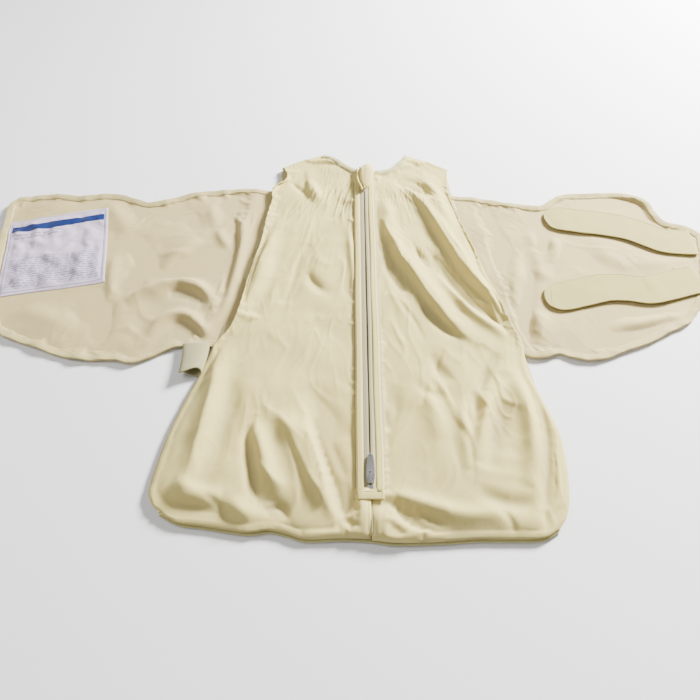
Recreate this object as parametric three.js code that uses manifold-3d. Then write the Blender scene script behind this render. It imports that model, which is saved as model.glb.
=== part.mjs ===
// A baby's zip-up swaddle sack laid out on its back: an A-line bag with a front zip,
// open armholes, and two swaddle wings spread out sideways.
// Millimetres, +Z up. The origin is on the resting plane, under the zip line,
// level with the underarms. +Y runs to the neck, +X to the wing with the fastening tabs.

import * as THREE from "three";
import { mergeVertices } from "three/addons/utils/BufferGeometryUtils.js";
import Module from "manifold-3d";

const wasm = await Module();
wasm.setup();

// ---- Driving dimensions --------------------------------------------------------------

const GAP = 0.3; // between pieces that are sewn together or lie on each other
const CLOTH = 1.6; // two layers of cotton knit
const SEAM_WIDTH = 5;
const SEAM_THICK = 1.8;

// The bag, measured from the underarms and the zip line.
const HEM_DROP = 212;
const HEM_HALF = 210;
const HEM_CORNER = 46;
const UNDERARM_HALF = 180;
const SHOULDER_RISE = 350; // top of the shoulder seam, beside the neck
const SHOULDER_SLOPE = 34; // how much lower its outer end is
const SHOULDER_HALF = 122;
const CHEST_HALF = 130; // where the top of the wing meets the bag
const NECK_HALF = 60;
const FRONT_NECK_DEPTH = 50;
const BACK_NECK_DEPTH = 45;
const BINDING_WIDTH = 6;
const BINDING_THICK = 2.4;
const FACING_WIDTH = 11; // turned-back band along the armhole

// How high the front stands over the back when the empty bag lies flat.
const LOFT = 12.5; // underside of the front panel along the zip
const ARM_GAP = 5; // the armhole edge stands this much above the seam level
const HEM_RISE = 40; // the front reaches its full height this far above the hem
const NECK_FALL = 62; // and falls to the shoulder seam over this length

// The zip.
const ZIP_BOTTOM = -165;
const ZIP_TOP = 268;
const PLACKET_GAP = 6.2; // from the zip line to each folded front edge
const PLACKET_WIDTH = 7;
const PLACKET_THICK = 0.8;
const TAPE_INNER = 3;
const TAPE_WIDTH = 12;
const TAPE_THICK = 0.8;
const COIL_INNER = 0.9;
const COIL_WIDTH = 1.8;
const COIL_HEIGHT = 2.2;
const UNDERLAY_WIDTH = 34;
const UNDERLAY_THICK = 0.8;
const STOP_LENGTH = 4;
const BOX_LENGTH = 9;
const PIN_LENGTH = 8;

// The slider and its pull.
const SLIDER_LENGTH = 11;
const SLIDER_WIDTH = 8.4;
const SLIDER_PLATE = 1;
const SLIDER_REST = 7; // its centre stands this far above the bottom end of the zip
const NECK_WIDTH = 1.2;
const NECK_LENGTH = 3;
const CROWN_WIDTH = 2.2;
const CROWN_LENGTH = 8;
const CROWN_RISE = 3.3;
const CROWN_BAR = 1.1;
const PULL_LENGTH = 25;
const PULL_WIDTH = 8;
const PULL_TIP = 2.6;
const PULL_THICK = 1.2;
const PULL_BAR = 1.6;
const PULL_WINDOW = 4.8;
const PULL_HOLE = 0.9;

// The folded guard over the neck end of the zip.
const GUARD_WIDTH = 26;
const GUARD_LENGTH = 44;
const GUARD_THICK = 6;
const GUARD_SHIFT = 9; // it is sewn to the right-hand front edge

// The swaddle wings.
const WING_TOP = 262;
const LEFT_WING_REACH = 508;
const RIGHT_WING_REACH = 462;
const TIP_SLANT = 44; // the tip's lower corner is this much nearer the bag
const WING_TIP_LOW = 74;
const WING_BELLY = 17; // how far the lower edge hangs below the underarm
const WING_CORNER = 26;
const WING_THICK = 1.4;
const WING_LIFT = 1.1;
const WING_BINDING = 7;
const WING_BINDING_THICK = 2.7;

// What is sewn on the wings.
const LABEL_WIDTH = 130;
const LABEL_HEIGHT = 137;
const LABEL_THICK = 0.5;
const LABEL_FROM_TIP = 103; // to the label's middle
const LABEL_Y = 155;
const LABEL_TILT = 12; // degrees
const TAB_WIDTH = 46;
const TAB_LENGTH = 198;
const TAB_THICK = 1.4;
const TAB_FROM_TIP = 10; // the crease on which a tab is folded back
const UPPER_TAB_Y = 162;
const UPPER_TAB_SKEW = 5; // degrees from square to the crease, towards the neck
const LOWER_TAB_SKEW = -19;
const TAB_CLEARANCE = 10; // between the two tabs' creases
const HOOK_LENGTH = 60;
const HOOK_THICK = 1.6;
const HOOK_MARGIN = 4;
const ANCHOR_LENGTH = 25;
const LOOP_LENGTH = 150;
const UPPER_LOOP_Y = 196;
const LOWER_LOOP_Y = 92;
const LOOP_THICK = 0.6;
const LOOP_FROM_TIP = 40;

// The band behind the bag that carries both wings, and its slack at the left underarm.
const BAND_BOTTOM = -44;
const BAND_THICK = 1.6;
const BAND_STEP = 36; // the back panel climbs onto the band over this length
const SLACK_REACH = 26;
const SLACK_TOP = -15;

// ---- Finishes ------------------------------------------------------------------------

const finishes = {
  knit: { color: 0xd9d2ac, roughness: 0.95, metalness: 0 },
  knitInside: { color: 0xd2c9a8, roughness: 0.95, metalness: 0 },
  binding: { color: 0xcfc79d, roughness: 0.9, metalness: 0 },
  strap: { color: 0xccc492, roughness: 0.85, metalness: 0 },
  hook: { color: 0xd6d1b4, roughness: 0.6, metalness: 0 },
  tape: { color: 0xc2b99a, roughness: 0.85, metalness: 0 },
  coil: { color: 0xd8d0ac, roughness: 0.4, metalness: 0 },
  label: { color: 0xe4dcea, roughness: 0.35, metalness: 0 },
  metal: { color: 0xb9b2b4, roughness: 0.3, metalness: 0.9 },
};

// ---- Solids --------------------------------------------------------------------------

const point = (x, y) => new THREE.Vector2(x, y);
const FRONT_CELL = point(17, 20); // how finely the bag's domed front is divided
const BACK_CELL = point(500, 8); // the back only rises and falls along the bag
const UNDERLAY_CELL = point(3, 500); // and the strip behind the zip only across it
const SIDE_STEP = 22;

function solidOf(geometry) {
  const bare = geometry.clone();
  bare.deleteAttribute("normal");
  bare.deleteAttribute("uv");
  const merged = mergeVertices(bare, 1e-4);
  return new wasm.Manifold(
    new wasm.Mesh({
      numProp: 3,
      vertProperties: merged.attributes.position.array,
      triVerts: new Uint32Array(merged.index.array),
    }),
  );
}

function geometryOf(solid) {
  const mesh = solid.getMesh();
  const geometry = new THREE.BufferGeometry();
  geometry.setAttribute("position", new THREE.BufferAttribute(mesh.vertProperties, 3));
  geometry.setIndex(new THREE.BufferAttribute(mesh.triVerts, 1));
  return geometry;
}

// A flat piece cut to an outline, from its underside up.
function flatPiece(outline, thickness, bottom = 0) {
  const geometry = new THREE.ExtrudeGeometry(new THREE.Shape(outline), {
    depth: thickness,
    bevelEnabled: false,
    curveSegments: 8,
  });
  return geometry.translate(0, 0, bottom);
}

// A piece of cloth cut to an outline, whose underside follows a height function. The
// cells of every such piece lie on one shared grid, so that neighbours follow each other.
function drapedPiece(outline, underside, thickness, cell = FRONT_CELL) {
  const box = new THREE.Box2().setFromPoints(outline).expandByScalar(1);
  const low = box.min.divide(cell).floor();
  const count = box.max.divide(cell).ceil().sub(low);
  const size = count.clone().multiply(cell);
  const corner = low.multiply(cell);
  const slab = new THREE.BoxGeometry(size.x, size.y, 1, count.x, count.y, 1);
  slab.translate(corner.x + size.x / 2, corner.y + size.y / 2, 0.5);
  const place = slab.attributes.position;
  for (let i = 0; i < place.count; i++) {
    const bottom = underside(place.getX(i), place.getY(i));
    place.setZ(i, bottom + place.getZ(i) * thickness);
  }
  const cutter = solidOf(flatPiece(outline, 80, -10));
  return geometryOf(solidOf(slab).intersect(cutter));
}

const mirrored = (outline, side) => outline.map((p) => point(side * p.x, p.y));
const between = THREE.MathUtils.lerp;
const rise = THREE.MathUtils.smoothstep;

// ---- The bag's outline and heights ---------------------------------------------------

const hemY = -HEM_DROP;
const shoulderOuterY = SHOULDER_RISE - SHOULDER_SLOPE;
const sideCurve = new THREE.SplineCurve([
  point(HEM_HALF, hemY + HEM_CORNER),
  point(between(HEM_HALF, UNDERARM_HALF, 0.35), hemY / 2),
  point(UNDERARM_HALF, 0),
  point(between(UNDERARM_HALF, CHEST_HALF, 0.5), WING_TOP * 0.4),
  point(CHEST_HALF, WING_TOP),
  point(SHOULDER_HALF, shoulderOuterY),
]);
const sidePoints = sideCurve.getPoints(60);

// Half the bag's width at a height.
function halfWidth(y) {
  const after = sidePoints.findIndex((p) => p.y >= y);
  if (after === 0) {
    const down = Math.min(HEM_CORNER, hemY + HEM_CORNER - y);
    return HEM_HALF - HEM_CORNER + Math.sqrt(HEM_CORNER ** 2 - down ** 2);
  }
  if (after < 0) return SHOULDER_HALF;
  const [a, b] = [sidePoints[after - 1], sidePoints[after]];
  return between(a.x, b.x, (y - a.y) / (b.y - a.y));
}

// The side from a height to a higher one, brought in by an inset.
function sideEdge(low, high, inset = 0) {
  const heights = [low];
  const first = Math.ceil((low + 1) / SIDE_STEP) * SIDE_STEP;
  for (let y = first; y < high - 1; y += SIDE_STEP) heights.push(y);
  heights.push(high);
  return heights.map((y) => point(halfWidth(y) - inset, y));
}

// The lower right corner, a quarter circle from the hem to the side.
function hemCorner(inset = 0) {
  const corner = new THREE.EllipseCurve(
    HEM_HALF - HEM_CORNER,
    hemY + HEM_CORNER,
    HEM_CORNER - inset,
    HEM_CORNER - inset,
    -Math.PI / 2,
    0,
  );
  return corner.getPoints(8);
}

// Half of a neckline, from beside the neck down to a distance from the zip line.
function neckline(depth, inset, stopX) {
  const [across, down] = [NECK_HALF + inset, depth + inset];
  const stop = Math.acos(stopX / across);
  const curve = new THREE.EllipseCurve(0, SHOULDER_RISE, across, down, 0, -stop, true);
  return curve.getPoints(12);
}

// The shoulder seam's line, at a distance from the zip line.
function shoulderY(x) {
  const share = (x - NECK_HALF) / (SHOULDER_HALF - NECK_HALF);
  return SHOULDER_RISE - SHOULDER_SLOPE * share;
}

const bandLift = BAND_THICK + GAP;
const backUnderside = (x, y) => bandLift * rise(y, BAND_BOTTOM - BAND_STEP, BAND_BOTTOM - 1);
const seamLevel = (x, y) => backUnderside(x, y) + CLOTH + SEAM_THICK + 2 * GAP;

// The underside of the front: level along the zip, lower towards every sewn edge.
function frontUnderside(x, y) {
  const half = halfWidth(y);
  const inwards = THREE.MathUtils.clamp((half - Math.abs(x)) / (half - PLACKET_GAP - 6), 0, 1);
  const armhole = ARM_GAP * rise(y, 40, 110) * (1 - rise(y, WING_TOP, shoulderOuterY));
  const edge = seamLevel(x, y) + armhole;
  const upFromHem = rise(y, hemY, hemY + HEM_RISE);
  const fromShoulder = 1 - rise(y, SHOULDER_RISE - NECK_FALL, SHOULDER_RISE);
  const dome = Math.sin((inwards * Math.PI) / 2) ** 0.85;
  return between(edge, LOFT, dome * upFromHem * fromShoulder);
}

// ---- Bag panels and seams ------------------------------------------------------------

const armholeLow = 24;
const armholeHigh = shoulderOuterY - 8;

function frontPanel(side) {
  const armInset = FACING_WIDTH + GAP;
  const outline = [
    point(GAP / 2, ZIP_BOTTOM - STOP_LENGTH),
    point(GAP / 2, hemY),
    ...hemCorner(),
    ...sideEdge(hemY + HEM_CORNER + 4, armholeLow),
    ...sideEdge(armholeLow + 0.1, armholeHigh, armInset),
    point(halfWidth(armholeHigh), armholeHigh + 0.1),
    point(SHOULDER_HALF, shoulderOuterY),
    ...neckline(FRONT_NECK_DEPTH, BINDING_WIDTH + GAP, PLACKET_GAP).map((p, i) =>
      i ? p : point(p.x, shoulderY(p.x)),
    ),
    point(PLACKET_GAP, ZIP_BOTTOM - STOP_LENGTH),
  ];
  return drapedPiece(mirrored(outline, side), frontUnderside, CLOTH);
}

function backPanel() {
  const inset = BINDING_WIDTH + GAP;
  const right = [
    ...hemCorner(),
    ...sideEdge(hemY + HEM_CORNER + 4, shoulderOuterY),
    ...neckline(BACK_NECK_DEPTH, inset, 0).map((p, i) => (i ? p : point(p.x, shoulderY(p.x)))),
  ];
  const left = mirrored(right, -1).reverse().slice(1);
  return drapedPiece([...right, ...left], backUnderside, CLOTH, BACK_CELL);
}

// The band behind the bag: it ends at both wing roots, and its slack shows at the left.
function backBand() {
  const half = (y) => halfWidth(y) - GAP;
  const outline = [
    point(half(BAND_BOTTOM), BAND_BOTTOM),
    ...sideEdge(0, WING_TOP, GAP),
    ...mirrored(sideEdge(0, WING_TOP, GAP), -1).reverse(),
    point(-half(SLACK_TOP), SLACK_TOP),
    point(-half(SLACK_TOP) - SLACK_REACH, SLACK_TOP),
    point(-half(SLACK_TOP) - SLACK_REACH, BAND_BOTTOM + 10),
    point(-half(SLACK_TOP) - SLACK_REACH / 2, BAND_BOTTOM),
  ];
  return flatPiece(outline, BAND_THICK);
}

// A narrow sewn strip between front and back, along the side or the shoulder.
function sideSeam(side) {
  const outer = sideEdge(hemY + HEM_CORNER + 4, armholeLow, 1);
  const inner = outer.map((p) => point(p.x - SEAM_WIDTH, p.y)).reverse();
  const underside = (x, y) => backUnderside(x, y) + CLOTH + GAP;
  return drapedPiece(mirrored([...outer, ...inner], side), underside, SEAM_THICK, BACK_CELL);
}

function hemSeam() {
  const right = hemCorner(1);
  const inner = hemCorner(1 + SEAM_WIDTH);
  const outline = [
    ...right,
    ...inner.reverse(),
    ...mirrored(inner, -1).reverse(),
    ...mirrored(right, -1).reverse(),
  ];
  return flatPiece(outline, SEAM_THICK, CLOTH + GAP);
}

function shoulderSeam(side) {
  const [inner, outer] = [NECK_HALF + BINDING_WIDTH + 2, SHOULDER_HALF - 2];
  const outline = [
    point(inner, shoulderY(inner) - SEAM_WIDTH - 1),
    point(outer, shoulderY(outer) - SEAM_WIDTH - 1),
    point(outer, shoulderY(outer) - 1),
    point(inner, shoulderY(inner) - 1),
  ];
  return flatPiece(mirrored(outline, side), SEAM_THICK, bandLift + CLOTH + GAP);
}

// The seam allowance inside the front, below the zip.
function centreSeam() {
  const outline = [
    point(-SEAM_WIDTH, hemY + HEM_RISE / 2),
    point(SEAM_WIDTH, hemY + HEM_RISE / 2),
    point(SEAM_WIDTH, ZIP_BOTTOM - STOP_LENGTH - GAP),
    point(-SEAM_WIDTH, ZIP_BOTTOM - STOP_LENGTH - GAP),
  ];
  const underside = (x, y) => frontUnderside(0, y) - GAP - PLACKET_THICK;
  return drapedPiece(outline, underside, PLACKET_THICK);
}

// ---- Edge trims ----------------------------------------------------------------------

function frontNeckBinding(side) {
  const free = neckline(FRONT_NECK_DEPTH, 0, PLACKET_GAP);
  const sewn = neckline(FRONT_NECK_DEPTH, BINDING_WIDTH, PLACKET_GAP);
  const ends = (line) => line.map((p, i) => (i ? p : point(p.x, shoulderY(p.x) - 1)));
  const outline = mirrored([...ends(free), ...ends(sewn).reverse()], side);
  const underside = (x, y) => frontUnderside(x, y) - (BINDING_THICK - CLOTH) / 2;
  return drapedPiece(outline, underside, BINDING_THICK);
}

function backNeckBinding() {
  const free = neckline(BACK_NECK_DEPTH, 0, 0);
  const sewn = neckline(BACK_NECK_DEPTH, BINDING_WIDTH, 0);
  const half = (line) => line.slice(2);
  const whole = (line) => [...half(line), ...mirrored(half(line), -1).reverse().slice(1)];
  const outline = [...whole(free), ...whole(sewn).reverse()];
  return flatPiece(outline, BINDING_THICK, bandLift - (BINDING_THICK - CLOTH) / 2);
}

function armholeFacing(side) {
  const free = sideEdge(armholeLow + GAP, armholeHigh - GAP);
  const sewn = sideEdge(armholeLow + GAP, armholeHigh - GAP, FACING_WIDTH).reverse();
  const underside = (x, y) => frontUnderside(x, y) - 0.2;
  return drapedPiece(mirrored([...free, ...sewn], side), underside, CLOTH + 0.6);
}

// A rectangle that runs along the zip, between two distances from its line.
function zipStrip(side, inner, outer, low, high) {
  return mirrored([point(inner, low), point(outer, low), point(outer, high), point(inner, high)], side);
}

const frontTop = LOFT + CLOTH;
const placketTop = SHOULDER_RISE - FRONT_NECK_DEPTH - BINDING_WIDTH - 7;

function placket(side) {
  const outline = zipStrip(side, PLACKET_GAP, PLACKET_GAP + PLACKET_WIDTH, ZIP_BOTTOM, placketTop);
  return flatPiece(outline, PLACKET_THICK, frontTop + GAP + 0.2);
}

// ---- The zip, from the inside out ----------------------------------------------------

const coilBottom = LOFT - COIL_HEIGHT + 0.4;
const tapeBottom = coilBottom + (COIL_HEIGHT - TAPE_THICK) / 2 - 0.1;
const sliderBottom = coilBottom - GAP - SLIDER_PLATE;
const sliderTop = coilBottom + COIL_HEIGHT + GAP + SLIDER_PLATE;
const tunnelHeight = CROWN_RISE - CROWN_BAR;
const pullZ = sliderTop + (tunnelHeight - PULL_THICK) / 2;

// The strip behind the zip: sewn to the left tape, and free of the slider elsewhere.
function underlay() {
  const half = UNDERLAY_WIDTH / 2;
  const outline = zipStrip(1, -half, half, ZIP_BOTTOM - STOP_LENGTH + 1, placketTop);
  const free = sliderBottom - GAP - UNDERLAY_THICK;
  const sewn = tapeBottom - 2 * GAP - UNDERLAY_THICK;
  const underside = (x) => between(free, sewn, rise(-x, half - 11, half - 6));
  return drapedPiece(outline, underside, UNDERLAY_THICK, UNDERLAY_CELL);
}

function zipperTape(side) {
  const outline = zipStrip(side, TAPE_INNER, TAPE_INNER + TAPE_WIDTH, ZIP_BOTTOM, ZIP_TOP);
  return flatPiece(outline, TAPE_THICK, tapeBottom - 0.3);
}

function zipperCoil(side) {
  const length = ZIP_TOP - ZIP_BOTTOM - PIN_LENGTH - BOX_LENGTH - 2 * GAP;
  const coil = new THREE.CylinderGeometry(COIL_HEIGHT / 2, COIL_HEIGHT / 2, length, 10);
  coil.scale(COIL_WIDTH / COIL_HEIGHT, 1, 1);
  const x = side * (COIL_INNER + COIL_WIDTH / 2);
  return coil.translate(x, ZIP_BOTTOM + length / 2, coilBottom + COIL_HEIGHT / 2);
}

// The metal staple across both coils at the bottom end.
function bottomStop() {
  const half = COIL_INNER + COIL_WIDTH;
  const outline = zipStrip(1, -half, half, ZIP_BOTTOM - STOP_LENGTH + GAP, ZIP_BOTTOM - GAP);
  return flatPiece(outline, COIL_HEIGHT, coilBottom);
}

// At the neck end one tape ends in a pin and the other in the box that takes it.
function retainerBox() {
  const low = ZIP_TOP - BOX_LENGTH;
  const half = COIL_INNER + COIL_WIDTH;
  const body = solidOf(flatPiece(zipStrip(1, -half, half, low, ZIP_TOP), COIL_HEIGHT, coilBottom));
  const bore = new THREE.CylinderGeometry(0.8, 0.8, BOX_LENGTH, 12);
  bore.translate(COIL_INNER + COIL_WIDTH / 2, low, coilBottom + COIL_HEIGHT / 2);
  return geometryOf(body.subtract(solidOf(bore)));
}

function insertionPin() {
  const pin = new THREE.CylinderGeometry(0.5, 0.5, PIN_LENGTH, 12);
  const y = ZIP_TOP - BOX_LENGTH - PIN_LENGTH / 2 + 1;
  return pin.translate(COIL_INNER + COIL_WIDTH / 2, y, coilBottom + COIL_HEIGHT / 2);
}

// One plate of the slider: wide at the mouths, with a narrower waist at the bottom end.
function sliderPlate(bottom) {
  const [half, end] = [SLIDER_WIDTH / 2, SLIDER_LENGTH / 2];
  const outline = [
    point(half * 0.72, -end),
    point(half, end * 0.3),
    point(half * 0.8, end),
    point(NECK_WIDTH, end * 0.82),
  ];
  const whole = [...outline, ...mirrored(outline, -1).reverse()];
  return solidOf(flatPiece(whole, SLIDER_PLATE, bottom));
}

function zipperSlider() {
  const post = new THREE.BoxGeometry(NECK_WIDTH, NECK_LENGTH, sliderTop - sliderBottom);
  post.translate(0, SLIDER_LENGTH / 4, (sliderTop + sliderBottom) / 2);
  const crown = new THREE.BoxGeometry(CROWN_WIDTH, CROWN_LENGTH, CROWN_RISE);
  crown.translate(0, 0, sliderTop + CROWN_RISE / 2);
  const tunnel = new THREE.BoxGeometry(CROWN_WIDTH * 2, CROWN_LENGTH - 2 * CROWN_BAR, tunnelHeight);
  tunnel.translate(0, 0, sliderTop + tunnelHeight / 2);
  const plates = sliderPlate(sliderBottom).add(sliderPlate(sliderTop - SLIDER_PLATE));
  const body = plates.add(solidOf(post)).add(solidOf(crown).subtract(solidOf(tunnel)));
  return geometryOf(body);
}

// The pull, from its crossbar at the origin to the rounded tip with its small hole.
function zipperPull() {
  const shape = new THREE.Shape();
  const [half, heel] = [PULL_WIDTH / 2, -PULL_BAR / 2];
  shape.moveTo(-half * 0.7, heel);
  shape.lineTo(half * 0.7, heel);
  shape.quadraticCurveTo(half, heel, half, heel + half);
  shape.quadraticCurveTo(half, PULL_LENGTH * 0.5, PULL_TIP, PULL_LENGTH - PULL_TIP);
  shape.quadraticCurveTo(0, PULL_LENGTH + PULL_TIP * 0.6, -PULL_TIP, PULL_LENGTH - PULL_TIP);
  shape.quadraticCurveTo(-half, PULL_LENGTH * 0.5, -half, heel + half);
  shape.quadraticCurveTo(-half, heel, -half * 0.7, heel);
  const window = new THREE.Path();
  const side = CROWN_WIDTH / 2 + 0.5;
  window.moveTo(-side, PULL_BAR / 2);
  window.lineTo(-side, PULL_BAR / 2 + PULL_WINDOW);
  window.lineTo(side, PULL_BAR / 2 + PULL_WINDOW);
  window.lineTo(side, PULL_BAR / 2);
  const hole = new THREE.Path();
  hole.absarc(0, PULL_LENGTH - PULL_TIP - 0.6, PULL_HOLE, 0, 2 * Math.PI, true);
  shape.holes.push(window, hole);
  return new THREE.ExtrudeGeometry(shape, {
    depth: PULL_THICK,
    bevelEnabled: false,
    curveSegments: 6,
  });
}

// A rounded flap, wide at the neckline and narrow where it tucks round the zip's end.
function zipperGuard() {
  const top = SHOULDER_RISE - FRONT_NECK_DEPTH + 10;
  const [half, low] = [GUARD_WIDTH / 2, top - GUARD_LENGTH];
  const shape = new THREE.Shape();
  shape.moveTo(-half, top - 4);
  shape.quadraticCurveTo(-half * 0.9, low + 12, -half * 0.25, low);
  shape.quadraticCurveTo(half * 0.1, low - 2, half * 0.4, low + 2);
  shape.quadraticCurveTo(half, low + 16, half, top);
  shape.quadraticCurveTo(0, top + 2, -half, top - 4);
  const geometry = new THREE.ExtrudeGeometry(shape, {
    depth: GUARD_THICK - 2,
    bevelThickness: 1,
    bevelSize: 1,
    bevelSegments: 1,
    curveSegments: 6,
  });
  return geometry.translate(GUARD_SHIFT, 0, frontTop + PLACKET_THICK + 3 * GAP + 1.3);
}

// ---- The swaddle wings ---------------------------------------------------------------

// A wing's outline on the right: straight top, slanted tip, rounded upper corner, a curved
// lower edge that comes back to the underarm, and a root along the bag's side.
const tipX = (reach, y) => reach - (TIP_SLANT * (WING_TOP - y)) / (WING_TOP - WING_TIP_LOW);

function wingOutline(reach, inset = 0, pastRoot = 0) {
  const [top, tip] = [WING_TOP - inset, reach - inset];
  const corner = Math.max(2, WING_CORNER - inset);
  const share = (part) => between(UNDERARM_HALF, tipX(reach, WING_TIP_LOW) - inset, part);
  const lower = new THREE.SplineCurve([
    point(share(1), WING_TIP_LOW + inset / 2),
    point(share(0.89), 32 + inset),
    point(share(0.59), -4 + inset),
    point(share(0.37), -WING_BELLY + inset),
    point(share(0.16), -8 + inset),
    point(UNDERARM_HALF + GAP / 2, inset),
  ]);
  const upperCorner = new THREE.QuadraticBezierCurve(
    point(tip - corner, top),
    point(tip, top),
    point(tipX(tip, top - corner), top - corner),
  );
  const root = sideEdge(inset, top, -GAP / 2).map((p) => point(p.x - pastRoot, p.y));
  return [...root, ...upperCorner.getPoints(6), ...lower.getPoints(20).slice(0, -1)];
}

function wingSheet(side, reach) {
  const outline = wingOutline(reach, WING_BINDING + GAP);
  return flatPiece(mirrored(outline, side), WING_THICK, WING_LIFT);
}

// The turned hem round a wing, open along the root.
function wingBinding(side, reach) {
  const outer = solidOf(flatPiece(mirrored(wingOutline(reach), side), WING_BINDING_THICK));
  const inside = mirrored(wingOutline(reach, WING_BINDING, 20), side);
  return geometryOf(outer.subtract(solidOf(flatPiece(inside, 20, -5))));
}

const wingSeat = WING_BINDING_THICK + GAP;

// A flat rectangle, from its inner end at a distance along X.
function patch(start, length, width, thickness) {
  return flatPiece(zipStrip(1, start, start + length, -width / 2, width / 2), thickness);
}

// A tab, from its crease along Y at the origin to its round end, leaning to +Y by a skew.
// Whatever is sewn on its inner side starts at a distance and is narrower by a margin.
function tabStrip(skew, thickness, start = 0, margin = 0) {
  const lean = THREE.MathUtils.degToRad(skew);
  const [along, half] = [TAB_LENGTH - TAB_WIDTH / 2, TAB_WIDTH / 2 - margin];
  const across = (y) => (start ? point(-start, y) : point(-y * Math.tan(lean), y));
  const end = new THREE.EllipseCurve(-along, 0, half, half, Math.PI / 2, 1.5 * Math.PI);
  const outline = [across(-half), across(half), ...end.getPoints(12)];
  return flatPiece(outline, thickness).rotateZ(-lean);
}

const creaseTilt = -Math.atan2(TIP_SLANT, WING_TOP - WING_TIP_LOW);
const creaseX = (y) => tipX(RIGHT_WING_REACH, y) - TAB_FROM_TIP;
const halfCrease = (skew) => TAB_WIDTH / 2 / Math.cos(THREE.MathUtils.degToRad(skew));
const tabSpacing = halfCrease(UPPER_TAB_SKEW) + TAB_CLEARANCE + halfCrease(LOWER_TAB_SKEW);
const lowerTabY = UPPER_TAB_Y - tabSpacing;

// ---- Assembly ------------------------------------------------------------------------

const garment = new THREE.Group();

function piece(parent, name, finish, geometry, at = [0, 0, 0]) {
  const mesh = new THREE.Mesh(geometry, new THREE.MeshStandardMaterial(finish));
  mesh.name = name;
  mesh.position.set(...at);
  parent.add(mesh);
}

const sack = new THREE.Group();
garment.add(sack);
piece(sack, "back_panel", finishes.knitInside, backPanel());
piece(sack, "back_band", finishes.knit, backBand());
piece(sack, "hem_seam", finishes.binding, hemSeam());
piece(sack, "centre_seam", finishes.binding, centreSeam());
piece(sack, "neck_binding_back", finishes.binding, backNeckBinding());
for (const [hand, side] of [["left", -1], ["right", 1]]) {
  piece(sack, `front_panel_${hand}`, finishes.knit, frontPanel(side));
  piece(sack, `side_seam_${hand}`, finishes.binding, sideSeam(side));
  piece(sack, `shoulder_seam_${hand}`, finishes.binding, shoulderSeam(side));
  piece(sack, `neck_binding_${hand}`, finishes.binding, frontNeckBinding(side));
  piece(sack, `armhole_facing_${hand}`, finishes.knit, armholeFacing(side));
  piece(sack, `placket_${hand}`, finishes.knit, placket(side));
  piece(sack, `zipper_tape_${hand}`, finishes.tape, zipperTape(side));
  piece(sack, `zipper_coil_${hand}`, finishes.coil, zipperCoil(side));
}
piece(sack, "zipper_underlay", finishes.knitInside, underlay());
piece(sack, "zipper_guard", finishes.knit, zipperGuard());
piece(sack, "zipper_bottom_stop", finishes.metal, bottomStop());
piece(sack, "zipper_retainer_box", finishes.coil, retainerBox());
piece(sack, "zipper_insertion_pin", finishes.coil, insertionPin());

const slider = new THREE.Group();
slider.position.set(0, ZIP_BOTTOM + SLIDER_REST, 0);
garment.add(slider);
piece(slider, "zipper_slider", finishes.metal, zipperSlider());
piece(slider, "zipper_pull", finishes.metal, zipperPull(), [0, 0, pullZ]);

const leftWing = new THREE.Group();
garment.add(leftWing);
piece(leftWing, "left_wing", finishes.knitInside, wingSheet(-1, LEFT_WING_REACH));
piece(leftWing, "left_wing_binding", finishes.binding, wingBinding(-1, LEFT_WING_REACH));
const label = patch(-LABEL_WIDTH / 2, LABEL_WIDTH, LABEL_HEIGHT, LABEL_THICK);
label.rotateZ(THREE.MathUtils.degToRad(LABEL_TILT));
const labelX = -LEFT_WING_REACH + LABEL_FROM_TIP;
piece(leftWing, "instruction_label", finishes.label, label, [labelX, LABEL_Y, wingSeat]);

const rightWing = new THREE.Group();
garment.add(rightWing);
piece(rightWing, "right_wing", finishes.knitInside, wingSheet(1, RIGHT_WING_REACH));
piece(rightWing, "right_wing_binding", finishes.binding, wingBinding(1, RIGHT_WING_REACH));

for (const [place, y, skew] of [
  ["upper", UPPER_TAB_Y, UPPER_TAB_SKEW],
  ["lower", lowerTabY, LOWER_TAB_SKEW],
]) {
  const tab = new THREE.Group();
  tab.position.set(creaseX(y), y, wingSeat);
  tab.rotation.z = creaseTilt;
  rightWing.add(tab);
  const anchor = patch(-ANCHOR_LENGTH, ANCHOR_LENGTH, TAB_WIDTH - 2, HOOK_THICK);
  piece(tab, `${place}_tab_anchor`, finishes.strap, anchor);
  const hookStart = TAB_LENGTH - HOOK_MARGIN - HOOK_LENGTH;
  const hook = tabStrip(skew, HOOK_THICK, hookStart, HOOK_MARGIN);
  piece(tab, `${place}_tab`, finishes.strap, tabStrip(skew, TAB_THICK), [0, 0, HOOK_THICK + GAP]);
  piece(tab, `${place}_tab_hook`, finishes.hook, hook);
}

for (const [place, y] of [["upper", UPPER_LOOP_Y], ["lower", LOWER_LOOP_Y]]) {
  const loopX = LOOP_FROM_TIP - tipX(LEFT_WING_REACH, y);
  const loop = patch(0, LOOP_LENGTH, TAB_WIDTH, LOOP_THICK);
  piece(leftWing, `${place}_loop_strip`, finishes.strap, loop, [loopX, y, GAP / 2]);
}

export default garment;
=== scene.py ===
import math

import bmesh
import bpy
import numpy as np
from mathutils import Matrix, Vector, noise
from mathutils.bvhtree import BVHTree


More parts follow.
